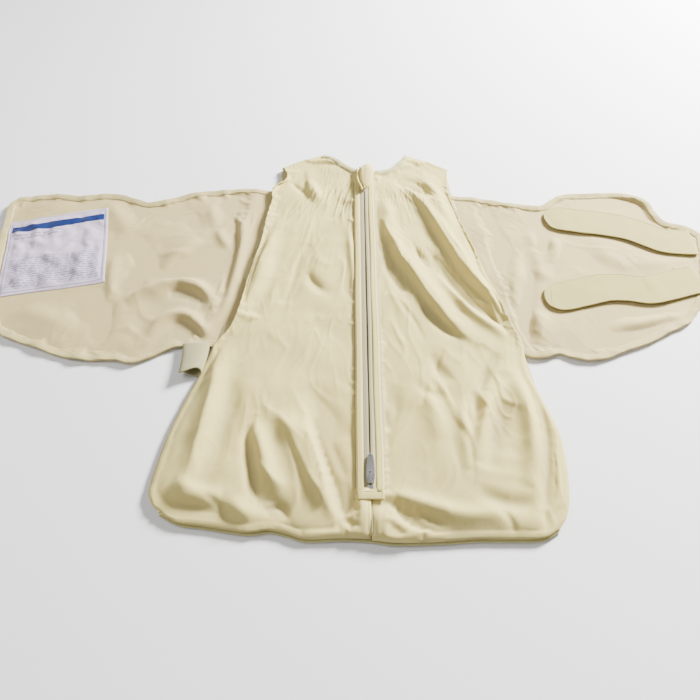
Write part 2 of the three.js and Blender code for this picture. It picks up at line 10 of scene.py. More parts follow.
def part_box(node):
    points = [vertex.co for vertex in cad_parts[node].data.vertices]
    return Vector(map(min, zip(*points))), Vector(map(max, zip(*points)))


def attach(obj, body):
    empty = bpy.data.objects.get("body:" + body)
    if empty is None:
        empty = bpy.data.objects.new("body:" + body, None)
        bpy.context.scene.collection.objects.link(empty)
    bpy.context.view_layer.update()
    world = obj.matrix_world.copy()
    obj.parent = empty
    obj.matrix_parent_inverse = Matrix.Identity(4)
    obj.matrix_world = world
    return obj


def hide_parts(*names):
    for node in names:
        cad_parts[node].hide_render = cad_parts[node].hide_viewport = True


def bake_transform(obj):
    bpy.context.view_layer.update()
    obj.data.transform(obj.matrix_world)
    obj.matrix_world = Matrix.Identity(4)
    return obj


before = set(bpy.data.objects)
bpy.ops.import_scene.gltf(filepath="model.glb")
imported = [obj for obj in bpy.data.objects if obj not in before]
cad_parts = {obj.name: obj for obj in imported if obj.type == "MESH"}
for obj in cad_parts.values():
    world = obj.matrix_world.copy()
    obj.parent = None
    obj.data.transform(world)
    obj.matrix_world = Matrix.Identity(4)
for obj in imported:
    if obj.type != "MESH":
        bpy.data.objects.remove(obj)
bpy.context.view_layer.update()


# ---- Room: floor, lights and camera ---------------------------------------------------
# The garment lies on a plain pale floor. One strong low lamp beyond its right shoulder
# makes the folds shade, with a weak one above its left wing.
FLOOR_SIZE = 8
FLOOR_GAP = 0.0004
VIEWED = (-0.020, 0, 0)
floor_mesh = bpy.data.meshes.new("floor")
half = FLOOR_SIZE / 2
floor_mesh.from_pydata(
    [(-half, -half, 0), (half, -half, 0), (half, half, 0), (-half, half, 0)], [], [(0, 1, 2, 3)]
)
floor = bpy.data.objects.new("floor", floor_mesh)
floor.location.z = -FLOOR_GAP
bpy.context.collection.objects.link(floor)
floor_paint = bpy.data.materials.new("pale floor")
floor_paint.use_nodes = True
floor_shader = floor_paint.node_tree.nodes["Principled BSDF"]
floor_shader.inputs["Base Color"].default_value = (0.93, 0.93, 0.93, 1)
floor_shader.inputs["Roughness"].default_value = 0.9
floor_mesh.materials.append(floor_paint)

world = bpy.data.worlds.new("room")
world.use_nodes = True
world.node_tree.nodes["Background"].inputs["Color"].default_value = (1.0, 0.99, 0.985, 1)
world.node_tree.nodes["Background"].inputs["Strength"].default_value = 0.32
bpy.context.scene.world = world

for name, place, size, power in [
    ("window lamp", (1.28, 1.16, 0.90), 0.5, 215),
    ("fill lamp", (-1.1, 0.2, 1.6), 1.2, 15),
]:
    data = bpy.data.lights.new(name, "AREA")
    data.shape = "DISK"
    data.size = size
    data.energy = power
    lamp = bpy.data.objects.new(name, data)
    lamp.location = place
    lamp.rotation_euler = (-Vector(place)).to_track_quat("-Z", "Y").to_euler()
    bpy.context.collection.objects.link(lamp)

camera_data = bpy.data.cameras.new("camera")
camera_data.lens = 27.7
camera_data.sensor_width = 36
camera = bpy.data.objects.new("camera", camera_data)
camera.location = (-0.020, -0.3467, 0.514)
camera.rotation_euler = (Vector(VIEWED) - camera.location).to_track_quat("-Z", "Y").to_euler()
bpy.context.collection.objects.link(camera)
bpy.context.scene.camera = camera


# ---- Back panel and swaddle band ------------------------------------------------------
# One sheet of cotton knit, cut A-line, with the deep back neckline. A second strip of the
# same knit is sewn flat behind the chest and carries both wings; its slack hangs out as a
# small fold below the left wing, coloured darker as painted shade.
CLOTH = 1.3
CREAM = (0.73, 0.61, 0.215)
CREAM_SHADE = (0.60, 0.495, 0.18)


def path(points, count=None, step=None):
    """A smooth line through points, with its own points evenly spaced."""
    p = np.array(points, float)
    before = np.vstack([2 * p[0] - p[1], p[:-1]])
    after = np.vstack([p[1:], 2 * p[-1] - p[-2]])
    slope = (after - before) / 2
    t = np.linspace(0, 1, 16, endpoint=False)[None, :, None]
    a, b, sa, sb = p[:-1, None], p[1:, None], slope[:-1, None], slope[1:, None]
    fine = (
        (2 * t**3 - 3 * t**2 + 1) * a
        + (t**3 - 2 * t**2 + t) * sa
        + (3 * t**2 - 2 * t**3) * b
        + (t**3 - t**2) * sb
    ).reshape(-1, p.shape[1])
    fine = np.vstack([fine, p[-1:]])
    run = np.concatenate([[0], np.cumsum(np.linalg.norm(np.diff(fine, axis=0), axis=1))])
    if count is None:
        count = max(2, int(round(run[-1] / step)) + 1)
    at = np.linspace(0, run[-1], count)
    return np.stack([np.interp(at, run, fine[:, k]) for k in range(p.shape[1])], axis=1)


def patch(bottom, top, left, right):
    """A grid of points between four edges: rows from bottom to top, columns left to right."""
    u = np.linspace(0, 1, len(bottom))[None, :, None]
    v = np.linspace(0, 1, len(left))[:, None, None]
    corners = (
        (1 - u) * (1 - v) * bottom[0]
        + u * (1 - v) * bottom[-1]
        + (1 - u) * v * top[0]
        + u * v * top[-1]
    )
    return (1 - v) * bottom[None] + v * top[None] + (1 - u) * left[:, None] + u * right[:, None] - corners


def distance_to(xy, line):
    """For each point: distance to a line, which side of it, and how far along, 0 to 1."""
    a, ab = line[:-1], np.diff(line, axis=0)
    ap = xy[:, None] - a[None]
    t = np.clip((ap * ab).sum(-1) / (ab * ab).sum(-1), 0, 1)
    gap = np.linalg.norm(ap - t[..., None] * ab, axis=-1)
    k = gap.argmin(1)
    rows = np.arange(len(xy))
    side = ab[k, 0] * ap[rows, k, 1] - ab[k, 1] * ap[rows, k, 0]
    return gap[rows, k], side, (k + t[rows, k]) / len(a)


def folds(xy, strokes):
    """Height that folds add: each is a line, its height, and its slopes' widths to the left
    and to the right of the line's direction."""
    total = np.zeros(len(xy))
    for line, height, left, right in strokes:
        gap, side, along = distance_to(xy, path(line, step=6))
        width = np.where(side > 0, left, right)
        taper = np.sin(np.pi * np.clip(along, 0.02, 0.98)) ** 0.7
        total += height * taper * np.exp(-((gap / width) ** 2))
    return total


def rumple(xy, size, depth, seed=0.0):
    """Low soft waves with no pattern."""
    return np.array([noise.noise((x / size, y / size, seed)) for x, y in xy]) * depth


def smooth(value, low, high):
    t = np.clip((value - low) / (high - low), 0, 1)
    return t * t * (3 - 2 * t)


def mesh_piece(name, points, faces, finish):
    mesh = bpy.data.meshes.new(name)
    mesh.from_pydata([tuple(p) for p in np.asarray(points) * 0.001], [], faces)
    mesh.materials.append(finish)
    piece = bpy.data.objects.new(name, mesh)
    bpy.context.collection.objects.link(piece)
    return piece


def grid_faces(rows, columns):
    return [
        (r * columns + c, r * columns + c + 1, (r + 1) * columns + c + 1, (r + 1) * columns + c)
        for r in range(rows - 1)
        for c in range(columns - 1)
    ]


def tube_faces(rings, turns):
    """Side faces of a tube of rings."""
    return [
        (k + j, k + (j + 1) % turns, k + turns + (j + 1) % turns, k + turns + j)
        for k in range(0, (rings - 1) * turns, turns)
        for j in range(turns)
    ]


def end_caps(rings, turns):
    return [tuple(range(turns))[::-1], tuple((rings - 1) * turns + j for j in range(turns))]


def outwards(piece, face_up=False):
    """Points every face outwards, or a single sheet's faces up."""
    form = bmesh.new()
    form.from_mesh(piece.data)
    bmesh.ops.recalc_face_normals(form, faces=form.faces)
    if face_up and sum(face.normal.z for face in form.faces) < 0:
        bmesh.ops.reverse_faces(form, faces=form.faces)
    form.to_mesh(piece.data)
    form.free()


def bake(piece):
    """Makes the piece's modifiers part of its mesh."""
    bpy.context.view_layer.update()
    evaluated = piece.evaluated_get(bpy.context.evaluated_depsgraph_get())
    mesh = bpy.data.meshes.new_from_object(evaluated)
    mesh.name = piece.name
    old = piece.data
    piece.modifiers.clear()
    piece.data = mesh
    bpy.data.meshes.remove(old)
    for polygon in mesh.polygons:
        polygon.use_smooth = True
    return piece


def thicken(piece, thickness, levels=0, offset=-1):
    """Gives a sheet its thickness, and rounds it with subdivision."""
    if levels:
        finer = piece.modifiers.new("finer", "SUBSURF")
        finer.levels = finer.render_levels = levels
    wall = piece.modifiers.new("wall", "SOLIDIFY")
    wall.thickness = thickness * 0.001
    wall.offset = offset
    wall.use_even_offset = False
    return bake(piece)


def input_socket(group, name, kind, value):
    socket = group.interface.new_socket(name, in_out="INPUT", socket_type=kind)
    socket.default_value = value
    return socket


# Fine jersey: rows of small loops, a soft mottle, and a few loose fibres.
knit = bpy.data.node_groups.new("jersey knit", "ShaderNodeTree")
input_socket(knit, "Yarn", "NodeSocketColor", (*CREAM, 1))
input_socket(knit, "Shade", "NodeSocketColor", (*CREAM_SHADE, 1))
input_socket(knit, "Loop Width", "NodeSocketFloat", 0.0011)
input_socket(knit, "Mottle Size", "NodeSocketFloat", 0.03)
# painted shade: the colour the cloth is darkened towards in its hollows
input_socket(knit, "Painted Shade Color", "NodeSocketColor", (0.36, 0.31, 0.19, 1))
for name, kind in [("Color", "Color"), ("Height", "Float"), ("Roughness", "Float")]:
    kind = "NodeSocket" + kind
    knit.interface.new_socket(name, in_out="OUTPUT", socket_type=kind)


def node(tree, kind, settings=None, **links):
    """A shader node; each link names an input, with a value or another node's socket."""
    made = tree.nodes.new(kind)
    for key, value in (settings or {}).items():
        setattr(made, key, value)
    for key, value in links.items():
        where = made.inputs[int(key[1:]) if key[0] == "i" and key[1:].isdigit() else key.replace("_", " ")]
        if isinstance(value, bpy.types.NodeSocket):
            tree.links.new(value, where)
        else:
            where.default_value = value
    return made


def maths(tree, operation, a, b=0.0, c=None):
    extra = {} if c is None else {"i2": c}
    return node(tree, "ShaderNodeMath", {"operation": operation}, i0=a, i1=b, **extra).outputs[0]


enter = knit.nodes.new("NodeGroupInput")
place = node(knit, "ShaderNodeTexCoord").outputs["Object"]
loops = maths(knit, "DIVIDE", 1.0, enter.outputs["Loop Width"])
axes = node(knit, "ShaderNodeSeparateXYZ", Vector=place)
wobble = node(knit, "ShaderNodeTexNoise", Vector=place, Scale=900.0, Detail=1.0).outputs[0]
across = maths(knit, "MULTIPLY", maths(knit, "MULTIPLY_ADD", wobble, 0.0005, axes.outputs[0]), loops)
up = maths(knit, "MULTIPLY", axes.outputs[1], loops)
wale = maths(knit, "ABSOLUTE", maths(knit, "SINE", maths(knit, "MULTIPLY", across, math.pi)))
lean = maths(knit, "MULTIPLY_ADD", wale, 0.8, maths(knit, "MULTIPLY", up, 1.35))
course = maths(knit, "ABSOLUTE", maths(knit, "SINE", maths(knit, "MULTIPLY", lean, math.pi)))
round_wale = maths(knit, "POWER", wale, 0.6)
loop_height = maths(knit, "MULTIPLY", round_wale, maths(knit, "MULTIPLY_ADD", course, 0.6, 0.4))
fuzz = node(knit, "ShaderNodeTexNoise", Vector=place, Scale=2600.0, Detail=2.0).outputs[0]
knit_height = maths(knit, "MULTIPLY_ADD", fuzz, 0.45, loop_height)
mottle_scale = maths(knit, "DIVIDE", 1.0, enter.outputs["Mottle Size"])
mottle = node(knit, "ShaderNodeTexNoise", Vector=place, Scale=mottle_scale, Detail=5.0, Roughness=0.65)
mottle = mottle.outputs[0]
# the darker shade colour comes in with a random mottle, and as painted shade in the gaps between the loops
gaps = maths(knit, "SUBTRACT", 1.0, loop_height)
shade = maths(knit, "MULTIPLY_ADD", gaps, 0.3, maths(knit, "MULTIPLY_ADD", mottle, 0.7, -0.2))
mixed = node(knit, "ShaderNodeMix", {"data_type": "RGBA", "clamp_factor": True})
knit.links.new(shade, mixed.inputs["Factor"])
knit.links.new(enter.outputs["Yarn"], mixed.inputs[6])
knit.links.new(enter.outputs["Shade"], mixed.inputs[7])
# painted shade: the colour is mixed towards a grey shade colour where the cloth lies deep between folds
painted_shade = node(knit, "ShaderNodeAttribute", {"attribute_name": "painted_shade"}).outputs["Fac"]
with_painted_shade = node(knit, "ShaderNodeMix", {"data_type": "RGBA", "clamp_factor": True})
knit.links.new(painted_shade, with_painted_shade.inputs["Factor"])
knit.links.new(mixed.outputs[2], with_painted_shade.inputs[6])
knit.links.new(enter.outputs["Painted Shade Color"], with_painted_shade.inputs[7])
leave = knit.nodes.new("NodeGroupOutput")
knit.links.new(with_painted_shade.outputs[2], leave.inputs["Color"])
knit.links.new(knit_height, leave.inputs["Height"])
knit.links.new(maths(knit, "MULTIPLY_ADD", mottle, 0.2, 0.78), leave.inputs["Roughness"])


def bumped(tree, height, distance, strength):
    """Gives a finish's surface the relief of a height."""
    bump = node(tree, "ShaderNodeBump", Height=height, Distance=distance, Strength=strength)
    tree.links.new(bump.outputs[0], tree.nodes["Principled BSDF"].inputs["Normal"])


def knit_finish(name, yarn, shade, loop_width=0.0011, mottle_size=0.03, depth=0.00022, sheen=0.08):
    finish = bpy.data.materials.new(name)
    finish.use_nodes = True
    tree = finish.node_tree
    surface = tree.nodes["Principled BSDF"]
    cloth = node(tree, "ShaderNodeGroup", {"node_tree": knit})
    cloth.inputs["Yarn"].default_value = (*yarn, 1)
    cloth.inputs["Shade"].default_value = (*shade, 1)
    cloth.inputs["Loop Width"].default_value = loop_width
    cloth.inputs["Mottle Size"].default_value = mottle_size
    bumped(tree, cloth.outputs["Height"], depth, 0.8)
    tree.links.new(cloth.outputs["Color"], surface.inputs["Base Color"])
    tree.links.new(cloth.outputs["Roughness"], surface.inputs["Roughness"])
    surface.inputs["Sheen Weight"].default_value = sheen
    surface.inputs["Sheen Roughness"].default_value = 0.6
    surface.inputs["Specular IOR Level"].default_value = 0.2
    return finish


body_cloth = knit_finish("cream jersey", CREAM, CREAM_SHADE)
back_cloth = knit_finish("cream jersey inside", (0.60, 0.52, 0.25), (0.50, 0.43, 0.21))

HEM = [(-200, -190), (-181, -199), (-158, -202), (-132, -206), (-114, -208), (-95, -206), (-76, -210),
       (-61, -214), (-28, -213), (-3, -214), (22, -217), (66, -216), (98, -214), (126, -214),
       (158, -213), (176, -204)]
LEFT_SIDE = [(-200, -190), (-211, -179), (-215, -162), (-208, -110), (-196, -65), (-186, -35), (-176, 3)]
RIGHT_SIDE = [(176, -204), (185, -192), (192, -170), (196, -140), (196, -104), (188, -72), (178, -30), (179, 3)]
LEFT_ARMHOLE = [(-176, 3), (-160, 25), (-152, 50), (-147, 83), (-142, 124), (-136, 161), (-132, 213),
                (-128, 244), (-129, 264), (-123, 275), (-113, 283), (-110, 293), (-112, 305), (-119, 320)]
RIGHT_ARMHOLE = [(179, 3), (166, 32), (160, 57), (152, 93), (144, 134), (137, 167), (126, 213), (119, 254),
                 (119, 285), (123, 316)]
LEFT_SHOULDER = [(-119, 320), (-98, 333), (-62, 349)]
RIGHT_SHOULDER = [(64, 349), (98, 332), (123, 316)]

back_rows, back_columns = 130, 108
back_bottom = path(np.array(HEM) * 0.985 + (0, 1), back_columns)
back_left = [(-197, -187), (-206, -150), (-196, -80), (-176, 0), (-156, 100), (-140, 190), (-127, 262),
             (-119, 316)]
back_left = path(back_left, back_rows)
back_right = [(173, -201), (189, -150), (186, -80), (176, 0), (153, 100), (136, 190), (124, 262), (121, 313)]
back_right = path(back_right, back_rows)
back_neck = [(-119, 316), (-90, 331), (-63, 345), (-50, 322), (-26, 305), (0, 301), (26, 305), (50, 322),
             (63, 345), (90, 330), (121, 313)]
back_top = path(back_neck, back_columns)
back_bottom[0], back_bottom[-1] = back_left[0], back_right[0]
back_xy = patch(back_bottom, back_top, back_left, back_right).reshape(-1, 2)


def back_level(xy):
    """The back lies on the floor, over the band behind the chest."""
    band = smooth(xy[:, 1], -60, -30) * 2.0
    return 1.6 + band + np.clip(rumple(xy, 60, 1.2, 3.0), -0.3, 0.9)


hem_gap = distance_to(back_xy, path(HEM, step=6))[0]
hem_curl = 3.6 * np.exp(-((hem_gap / 7) ** 2))
back_points = np.column_stack([back_xy, back_level(back_xy) + hem_curl])
back = mesh_piece("back_panel_cloth", back_points, grid_faces(back_rows, back_columns), back_cloth)
thicken(back, CLOTH)
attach(back, "sack")
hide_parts("back_panel")

band_rows, band_columns = 56, 90
band_left = path([(-171, -44), (-173, 0), (-153, 105), (-128, 258)], band_rows)
band_right = path([(181, -44), (176, 0), (152, 105), (127, 258)], band_rows)
band_low = path([band_left[0], band_right[0]], band_columns)
band_high = path([band_left[-1], band_right[-1]], band_columns)
band_xy = patch(band_low, band_high, band_left, band_right).reshape(-1, 2)
band_points = np.column_stack([band_xy, np.full(len(band_xy), 1.35)])
band = mesh_piece("back_band_cloth", band_points, grid_faces(band_rows, band_columns), body_cloth)
thicken(band, 1.2)
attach(band, "sack")
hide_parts("back_band")

# The slack is a small loop of the band with an open end, coloured darker all over as painted shade.
slack_rows, turns = 22, 40
slack_points = []
for r in range(slack_rows):
    share = r / (slack_rows - 1)
    middle = np.array([-196 + 4 * share - 5 * share**2, 4 - 38 * share])
    for k in range(turns):
        angle = 2 * math.pi * k / turns
        tall = 3.4 + 2.6 * share
        slack_points.append((
            middle[0] + 15 * math.cos(angle) * (1 - 0.18 * share),
            middle[1] + 3 * math.sin(2 * angle) * share,
            6.4 + tall * math.sin(angle),
        ))
# painted shade: the slack's cloth is coloured darker than the band's
slack_painted_shade_cloth = knit_finish("band slack jersey painted shade", (0.44, 0.40, 0.21), (0.34, 0.31, 0.16))
slack = mesh_piece("band_slack", slack_points, tube_faces(slack_rows, turns), slack_painted_shade_cloth)
thicken(slack, 1.1, offset=0)
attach(slack, "sack")


# ---- Front panels ---------------------------------------------------------------------
# The front is two mirrored cuts of the same cream jersey, seamed together below the zip
# and sewn to the back at the sides, hem and shoulders. It lies slack over the back, so it
# is relaxed as one cloth with a little spare width and then parted along the zip.
ZIP_EDGE = 6.5
ZIP_FOOT = -169
SPARE_CLOTH = -0.02
MOST_MOVE = 4.0
LOFT = 13.2
FOLD_DEPTH = 1.9
front_rows, half_columns = 150, 60
FRONT_FOLDS = [
    # right of the chest
    ([(22, 215), (29, 185), (41, 140), (56, 111), (73, 74), (87, 46), (102, 23), (126, 2)], 6.0, 16, 5),
    ([(29, 165), (32, 132), (39, 104), (49, 78)], -4.0, 6, 6),
    ([(66, 62), (82, 36), (104, 12)], -3.2, 6, 6),
    ([(56, 280), (70, 252), (84, 222), (97, 186), (110, 150), (126, 111), (141, 83), (152, 62), (166, 30),
      (172, 8)], 6.0, 15, 6),
    ([(84, 144), (97, 116), (112, 84), (131, 54), (146, 38), (158, 26)], -6.0, 6, 9),
    ([(90, 118), (104, 82), (120, 54), (138, 34), (164, 8)], 4.5, 9, 7),
    ([(64, 152), (72, 134), (80, 116)], -2.2, 5, 5),
    ([(46, 292), (62, 280), (84, 264), (98, 244)], -4.5, 9, 10),
    ([(84, 290), (94, 262), (106, 226), (120, 186)], 4.0, 10, 10),
    ([(26, 250), (32, 215), (34, 190)], 2.2, 8, 8),
    # left of the chest
    ([(-78, 165), (-82, 134), (-94, 96), (-100, 60)], -3.6, 13, 13),
    ([(-100, 312), (-92, 290), (-82, 262)], -4.5, 8, 8),
    ([(-84, 292), (-74, 267), (-63, 240)], 4.0, 8, 8),
    ([(-82, 122), (-62, 90), (-44, 76)], -2.0, 8, 7),
    ([(-22, 190), (-16, 130), (-13, 90), (-15, 50)], 2.6, 8, 5),
    ([(-30, 250), (-38, 225), (-48, 205)], -2.0, 9, 9),
    ([(-120, 190), (-128, 130), (-140, 70), (-168, 14)], 4.2, 12, 9),
    ([(-108, 150), (-120, 96), (-146, 38), (-168, 10)], -2.4, 10, 10),
    # lower left
    ([(-172, 0), (-169, -40), (-168, -80), (-174, -125), (-182, -175)], 4.5, 14, 10),
    ([(-150, -20), (-150, -80), (-158, -130), (-164, -172)], -2.4, 12, 12),
    ([(-118, -86), (-124, -112), (-120, -140), (-112, -180)], -3.2, 8, 5),
    ([(-122, -92), (-110, -126), (-98, -156), (-84, -170)], 3.8, 8, 8),
    ([(-62, -90), (-53, -114), (-44, -140), (-36, -166), (-26, -198)], -5.0, 12, 4.5),
    ([(-68, -88), (-60, -112), (-52, -138), (-44, -164), (-34, -198)], 4.2, 4.5, 12),
    ([(-98, -84), (-76, -114), (-60, -144), (-46, -172)], 4.2, 11, 9),
    ([(-66, -50), (-48, -84), (-26, -118)], -2.4, 14, 12),
    ([(-192, -158), (-176, -170), (-160, -176), (-140, -176)], 3.6, 9, 12),
    ([(-190, -186), (-166, -188), (-140, -192)], -3.4, 7, 7),
    ([(-104, -172), (-92, -186), (-76, -190)], -3.0, 8, 8),
    ([(-136, -178), (-122, -190), (-110, -200)], 3.0, 9, 9),
    # lower right
    ([(172, -30), (180, -66), (183, -98), (180, -131), (172, -160), (163, -190)], -6.5, 9, 6),
    ([(188, -50), (192, -100), (190, -140), (184, -180)], 3.6, 8, 8),
    ([(160, -40), (166, -90), (162, -130), (152, -170)], 4.0, 9, 9),
    ([(148, -8), (131, -34), (118, -57), (108, -72)], -2.6, 6, 6),
    ([(112, -60), (114, -84), (108, -104)], -2.2, 6, 6),
    ([(128, -60), (116, -104), (106, -142)], 3.4, 8, 8),
    ([(96, -76), (98, -112), (96, -152)], 2.8, 7, 7),
    ([(145, -70), (128, -111), (116, -150)], -3.0, 9, 9),
    ([(12, -128), (22, -90), (34, -50)], -2.4, 8, 8),
    ([(56, -40), (66, -80), (72, -120)], 2.2, 9, 9),
    ([(72, -10), (80, -34), (92, -50)], -1.8, 6, 6),
    ([(52, -44), (62, -62), (84, -68)], -1.6, 6, 6),
    ([(-12, -178), (16, -184), (40, -196), (70, -206)], -3.4, 8, 8),
    ([(10, -172), (40, -180), (84, -192), (130, -190)], 3.0, 8, 8),
    ([(100, -170), (130, -182), (158, -182)], -2.4, 8, 8),
]


# Sharper creases pressed into the cloth by wear.
FRONT_CREASES = [
    ([(-58, -110), (-45, -140), (-34, -165), (-28, -186), (-20, -205)], -2.4, 5, 2.2),
    ([(-122, -132), (-117, -150), (-112, -165), (-106, -189)], -2.0, 5, 2.2),
    ([(-122, -132), (-105, -148), (-87, -165)], 1.7, 2.2, 5),
    ([(-116, -91), (-118, -108), (-122, -131)], 1.2, 2.5, 4),
    ([(-87, -99), (-85, -119), (-74, -150), (-69, -185)], 1.5, 2.4, 5),
    ([(-95, -88), (-81, -105), (-68, -119)], 1.5, 2.2, 4.5),
    ([(-113, -61), (-109, -79), (-92, -91)], 1.2, 2.5, 4),
    ([(-175, -23), (-167, -42), (-169, -79), (-174, -129), (-180, -170)], 1.9, 6, 3),
    ([(-160, -173), (-142, -185), (-135, -199)], -2.0, 3, 4),
    ([(-106, -189), (-86, -185), (-75, -199)], -1.8, 3, 4),
    ([(-64, -150), (-49, -172), (-34, -196)], 1.4, 2.4, 4),
    ([(31, -48), (14, -76), (18, -99)], -1.8, 3, 6),
    ([(64, -48), (56, -79)], -1.5, 2.4, 4),
    ([(67, -39), (79, -55), (92, -88)], 1.5, 2.4, 4),
    ([(84, -88), (99, -116), (101, -140), (100, -160)], -1.8, 2.4, 5),
    ([(110, -67), (103, -82), (105, -108)], -1.8, 2.4, 4),
    ([(153, -45), (130, -73), (116, -102), (108, -124)], 2.2, 3, 5),
    ([(134, -26), (119, -61)], -2.0, 4, 3),
    ([(87, -3), (76, -29), (83, -48)], -1.6, 2.4, 4),
    ([(182, -70), (183, -108), (175, -150), (166, -185), (163, -206)], -4.0, 4, 3),
    ([(39, -185), (49, -199), (67, -206)], 1.8, 3, 3),
    ([(118, -187), (128, -194), (135, -210)], -1.6, 2.5, 4),
    ([(-112, 300), (-102, 282), (-83, 262), (-72, 240)], -2.0, 3, 5),
    ([(-76, 115), (-63, 94), (-53, 85)], -1.5, 2.4, 4),
    ([(-81, 158), (-86, 132), (-93, 86), (-98, 63)], -1.9, 5, 4),
    ([(-77, 293), (-72, 258), (-65, 240)], -1.4, 3, 4),
    ([(-26, 245), (-30, 220)], -1.2, 2.4, 4),
    ([(-110, 200), (-129, 145), (-147, 78), (-160, 33)], 1.9, 3, 6),
    ([(-70, 210), (-78, 170), (-92, 120)], 1.2, 3, 5),
    ([(56, 280), (70, 252), (84, 222), (97, 186), (110, 150), (126, 111), (141, 83), (152, 62),
      (166, 30)], 1.4, 5, 2.2),
    ([(24, 215), (29, 185), (41, 140), (56, 111), (73, 74), (87, 46), (102, 23)], 1.4, 5, 2.2),
    ([(84, 144), (97, 116), (112, 84), (131, 54)], -1.4, 2.4, 4),
    ([(60, 168), (66, 148), (74, 128)], -1.4, 2.4, 4),
    ([(96, 214), (108, 176), (124, 132)], 1.2, 4, 2.4),
    ([(40, 62), (56, 36), (66, 4)], -1.2, 2.4, 4),
    ([(26, 96), (34, 66), (46, 40)], 1.2, 3, 4),
]


def half_front(side):
    """Grid points of one half of the front, columns from the outer edge to the zip."""
    hem_line = path(HEM, step=2)
    middle = np.array([side * ZIP_EDGE, np.interp(side * ZIP_EDGE, hem_line[:, 0], hem_line[:, 1])])
    outer = path((LEFT_SIDE if side < 0 else RIGHT_SIDE), step=3)
    arm = path((LEFT_ARMHOLE if side < 0 else RIGHT_ARMHOLE), step=3)
    outer = path(np.vstack([outer[:-1], arm])[::2], front_rows)
    if side < 0:
        shoulder = path(LEFT_SHOULDER, step=4)
        neck = path([(-62, 349), (-46, 339), (-28, 320), (-14, 309), (-6.5, 306)], step=4)
        top = path(np.vstack([shoulder[:-1], neck]), half_columns)
        hem = path(np.vstack([hem_line[hem_line[:, 0] < -ZIP_EDGE - 1], middle]), half_columns)
    else:
        shoulder = path(RIGHT_SHOULDER[::-1], step=4)
        neck = path([(64, 349), (56, 333), (44, 314), (26, 304), (6.5, 303)], step=4)
        top = path(np.vstack([shoulder[:-1], neck]), half_columns)
        hem = path(np.vstack([middle, hem_line[hem_line[:, 0] > ZIP_EDGE + 1]])[::-1], half_columns)
    zip_low = np.linspace(middle[1], ZIP_FOOT, 13)[:-1]
    zip_high = np.linspace(ZIP_FOOT, top[-1, 1], front_rows - 12)
    heights = np.concatenate([zip_low, zip_high])
    inner = np.column_stack([np.full(front_rows, side * ZIP_EDGE), heights])
    top[-1], hem[-1] = inner[-1], inner[0]
    top[0], hem[0] = outer[-1], outer[0]
    return patch(hem, top, outer, inner)


left_half, right_half = half_front(-1), half_front(1)[:, ::-1]
front_grid = np.concatenate([left_half, right_half], axis=1)
front_columns = 2 * half_columns
front_xy = front_grid.reshape(-1, 2)

side_line = [path(LEFT_SIDE, step=6), path(RIGHT_SIDE, step=6)]
arm_line = [path(LEFT_ARMHOLE, step=6), path(RIGHT_ARMHOLE, step=6)]
hem_line = path(HEM, step=6)
shoulder_line = [path(LEFT_SHOULDER, step=6), path(RIGHT_SHOULDER, step=6)]


def front_level(xy):
    side_gap = np.minimum(*[distance_to(xy, line)[0] for line in side_line])
    arm_gap = np.minimum(*[distance_to(xy, line)[0] for line in arm_line])
    hem_gap = distance_to(xy, hem_line)[0]
    shoulder_gap = np.minimum(*[distance_to(xy, line)[0] for line in shoulder_line])
    zip_gap = np.abs(xy[:, 0]) - ZIP_EDGE

    def crown(gap, reach):
        return np.sqrt(1 - (1 - np.clip(gap / reach, 0, 1)) ** 2)

    dome = crown(side_gap, 30) * crown(hem_gap, 22) * crown(shoulder_gap, 60)
    arm = crown(arm_gap, 34)
    stand = 0.5 + 0.28 * (xy[:, 0] < 0) * smooth(xy[:, 1], 20, 70)
    level = 4.6 + (LOFT - 4.6) * dome * (stand + (1 - stand) * arm)
    puff = 3.0 * np.exp(-(((np.abs(xy[:, 0]) - 110) / 75) ** 2))
    puff = puff * smooth(hem_gap, 0, 45) * smooth(-xy[:, 1], -60, 120)
    free = smooth(zip_gap, 0, 16) * smooth(np.minimum(side_gap, hem_gap), 0, 14)
    below_zip = smooth(-xy[:, 1], 168, 180)
    free = np.maximum(free, below_zip * smooth(hem_gap, 0, 14))
    relief = FOLD_DEPTH * folds(xy, FRONT_FOLDS) + rumple(xy, 42, 2.0, 1.0) + rumple(xy, 18, 0.45, 5.0)
    return np.clip(level + puff * free + relief * free * (0.35 + 0.65 * dome), 6.8 - 3.2 * (dome < 0.6), 22.5)


def relax(points, faces, held, spare, most, frames, gravity=0.12):
    """Lets a cloth with a little spare settle, and returns its points."""
    piece = mesh_piece("relaxing", points, faces, body_cloth)
    group = piece.vertex_groups.new(name="held")
    group.add([int(i) for i in np.nonzero(held)[0]], 1.0, "REPLACE")
    cloth = piece.modifiers.new("cloth", "CLOTH")
    settings = cloth.settings
    settings.quality = 6
    settings.mass = 0.18
    settings.tension_stiffness = settings.compression_stiffness = 12
    settings.shear_stiffness = 8
    settings.bending_stiffness = 1.5
    settings.air_damping = 4
    settings.shrink_min = spare
    settings.vertex_group_mass = "held"
    settings.effector_weights.gravity = gravity
    cloth.collision_settings.use_collision = False
    cloth.point_cache.frame_start = 1
    cloth.point_cache.frame_end = frames
    scene = bpy.context.scene
    for now in range(1, frames + 1):
        scene.frame_set(now)
    evaluated = piece.evaluated_get(bpy.context.evaluated_depsgraph_get())
    settled = np.empty(len(points) * 3)
    evaluated.data.vertices.foreach_get("co", settled)
    settled = settled.reshape(-1, 3) * 1000
    scene.frame_set(1)
    mesh = piece.data
    bpy.data.objects.remove(piece)
    bpy.data.meshes.remove(mesh)
    move = settled - points
    length = np.linalg.norm(move, axis=1, keepdims=True)
    return points + move * np.minimum(1, most / np.maximum(length, 1e-9))


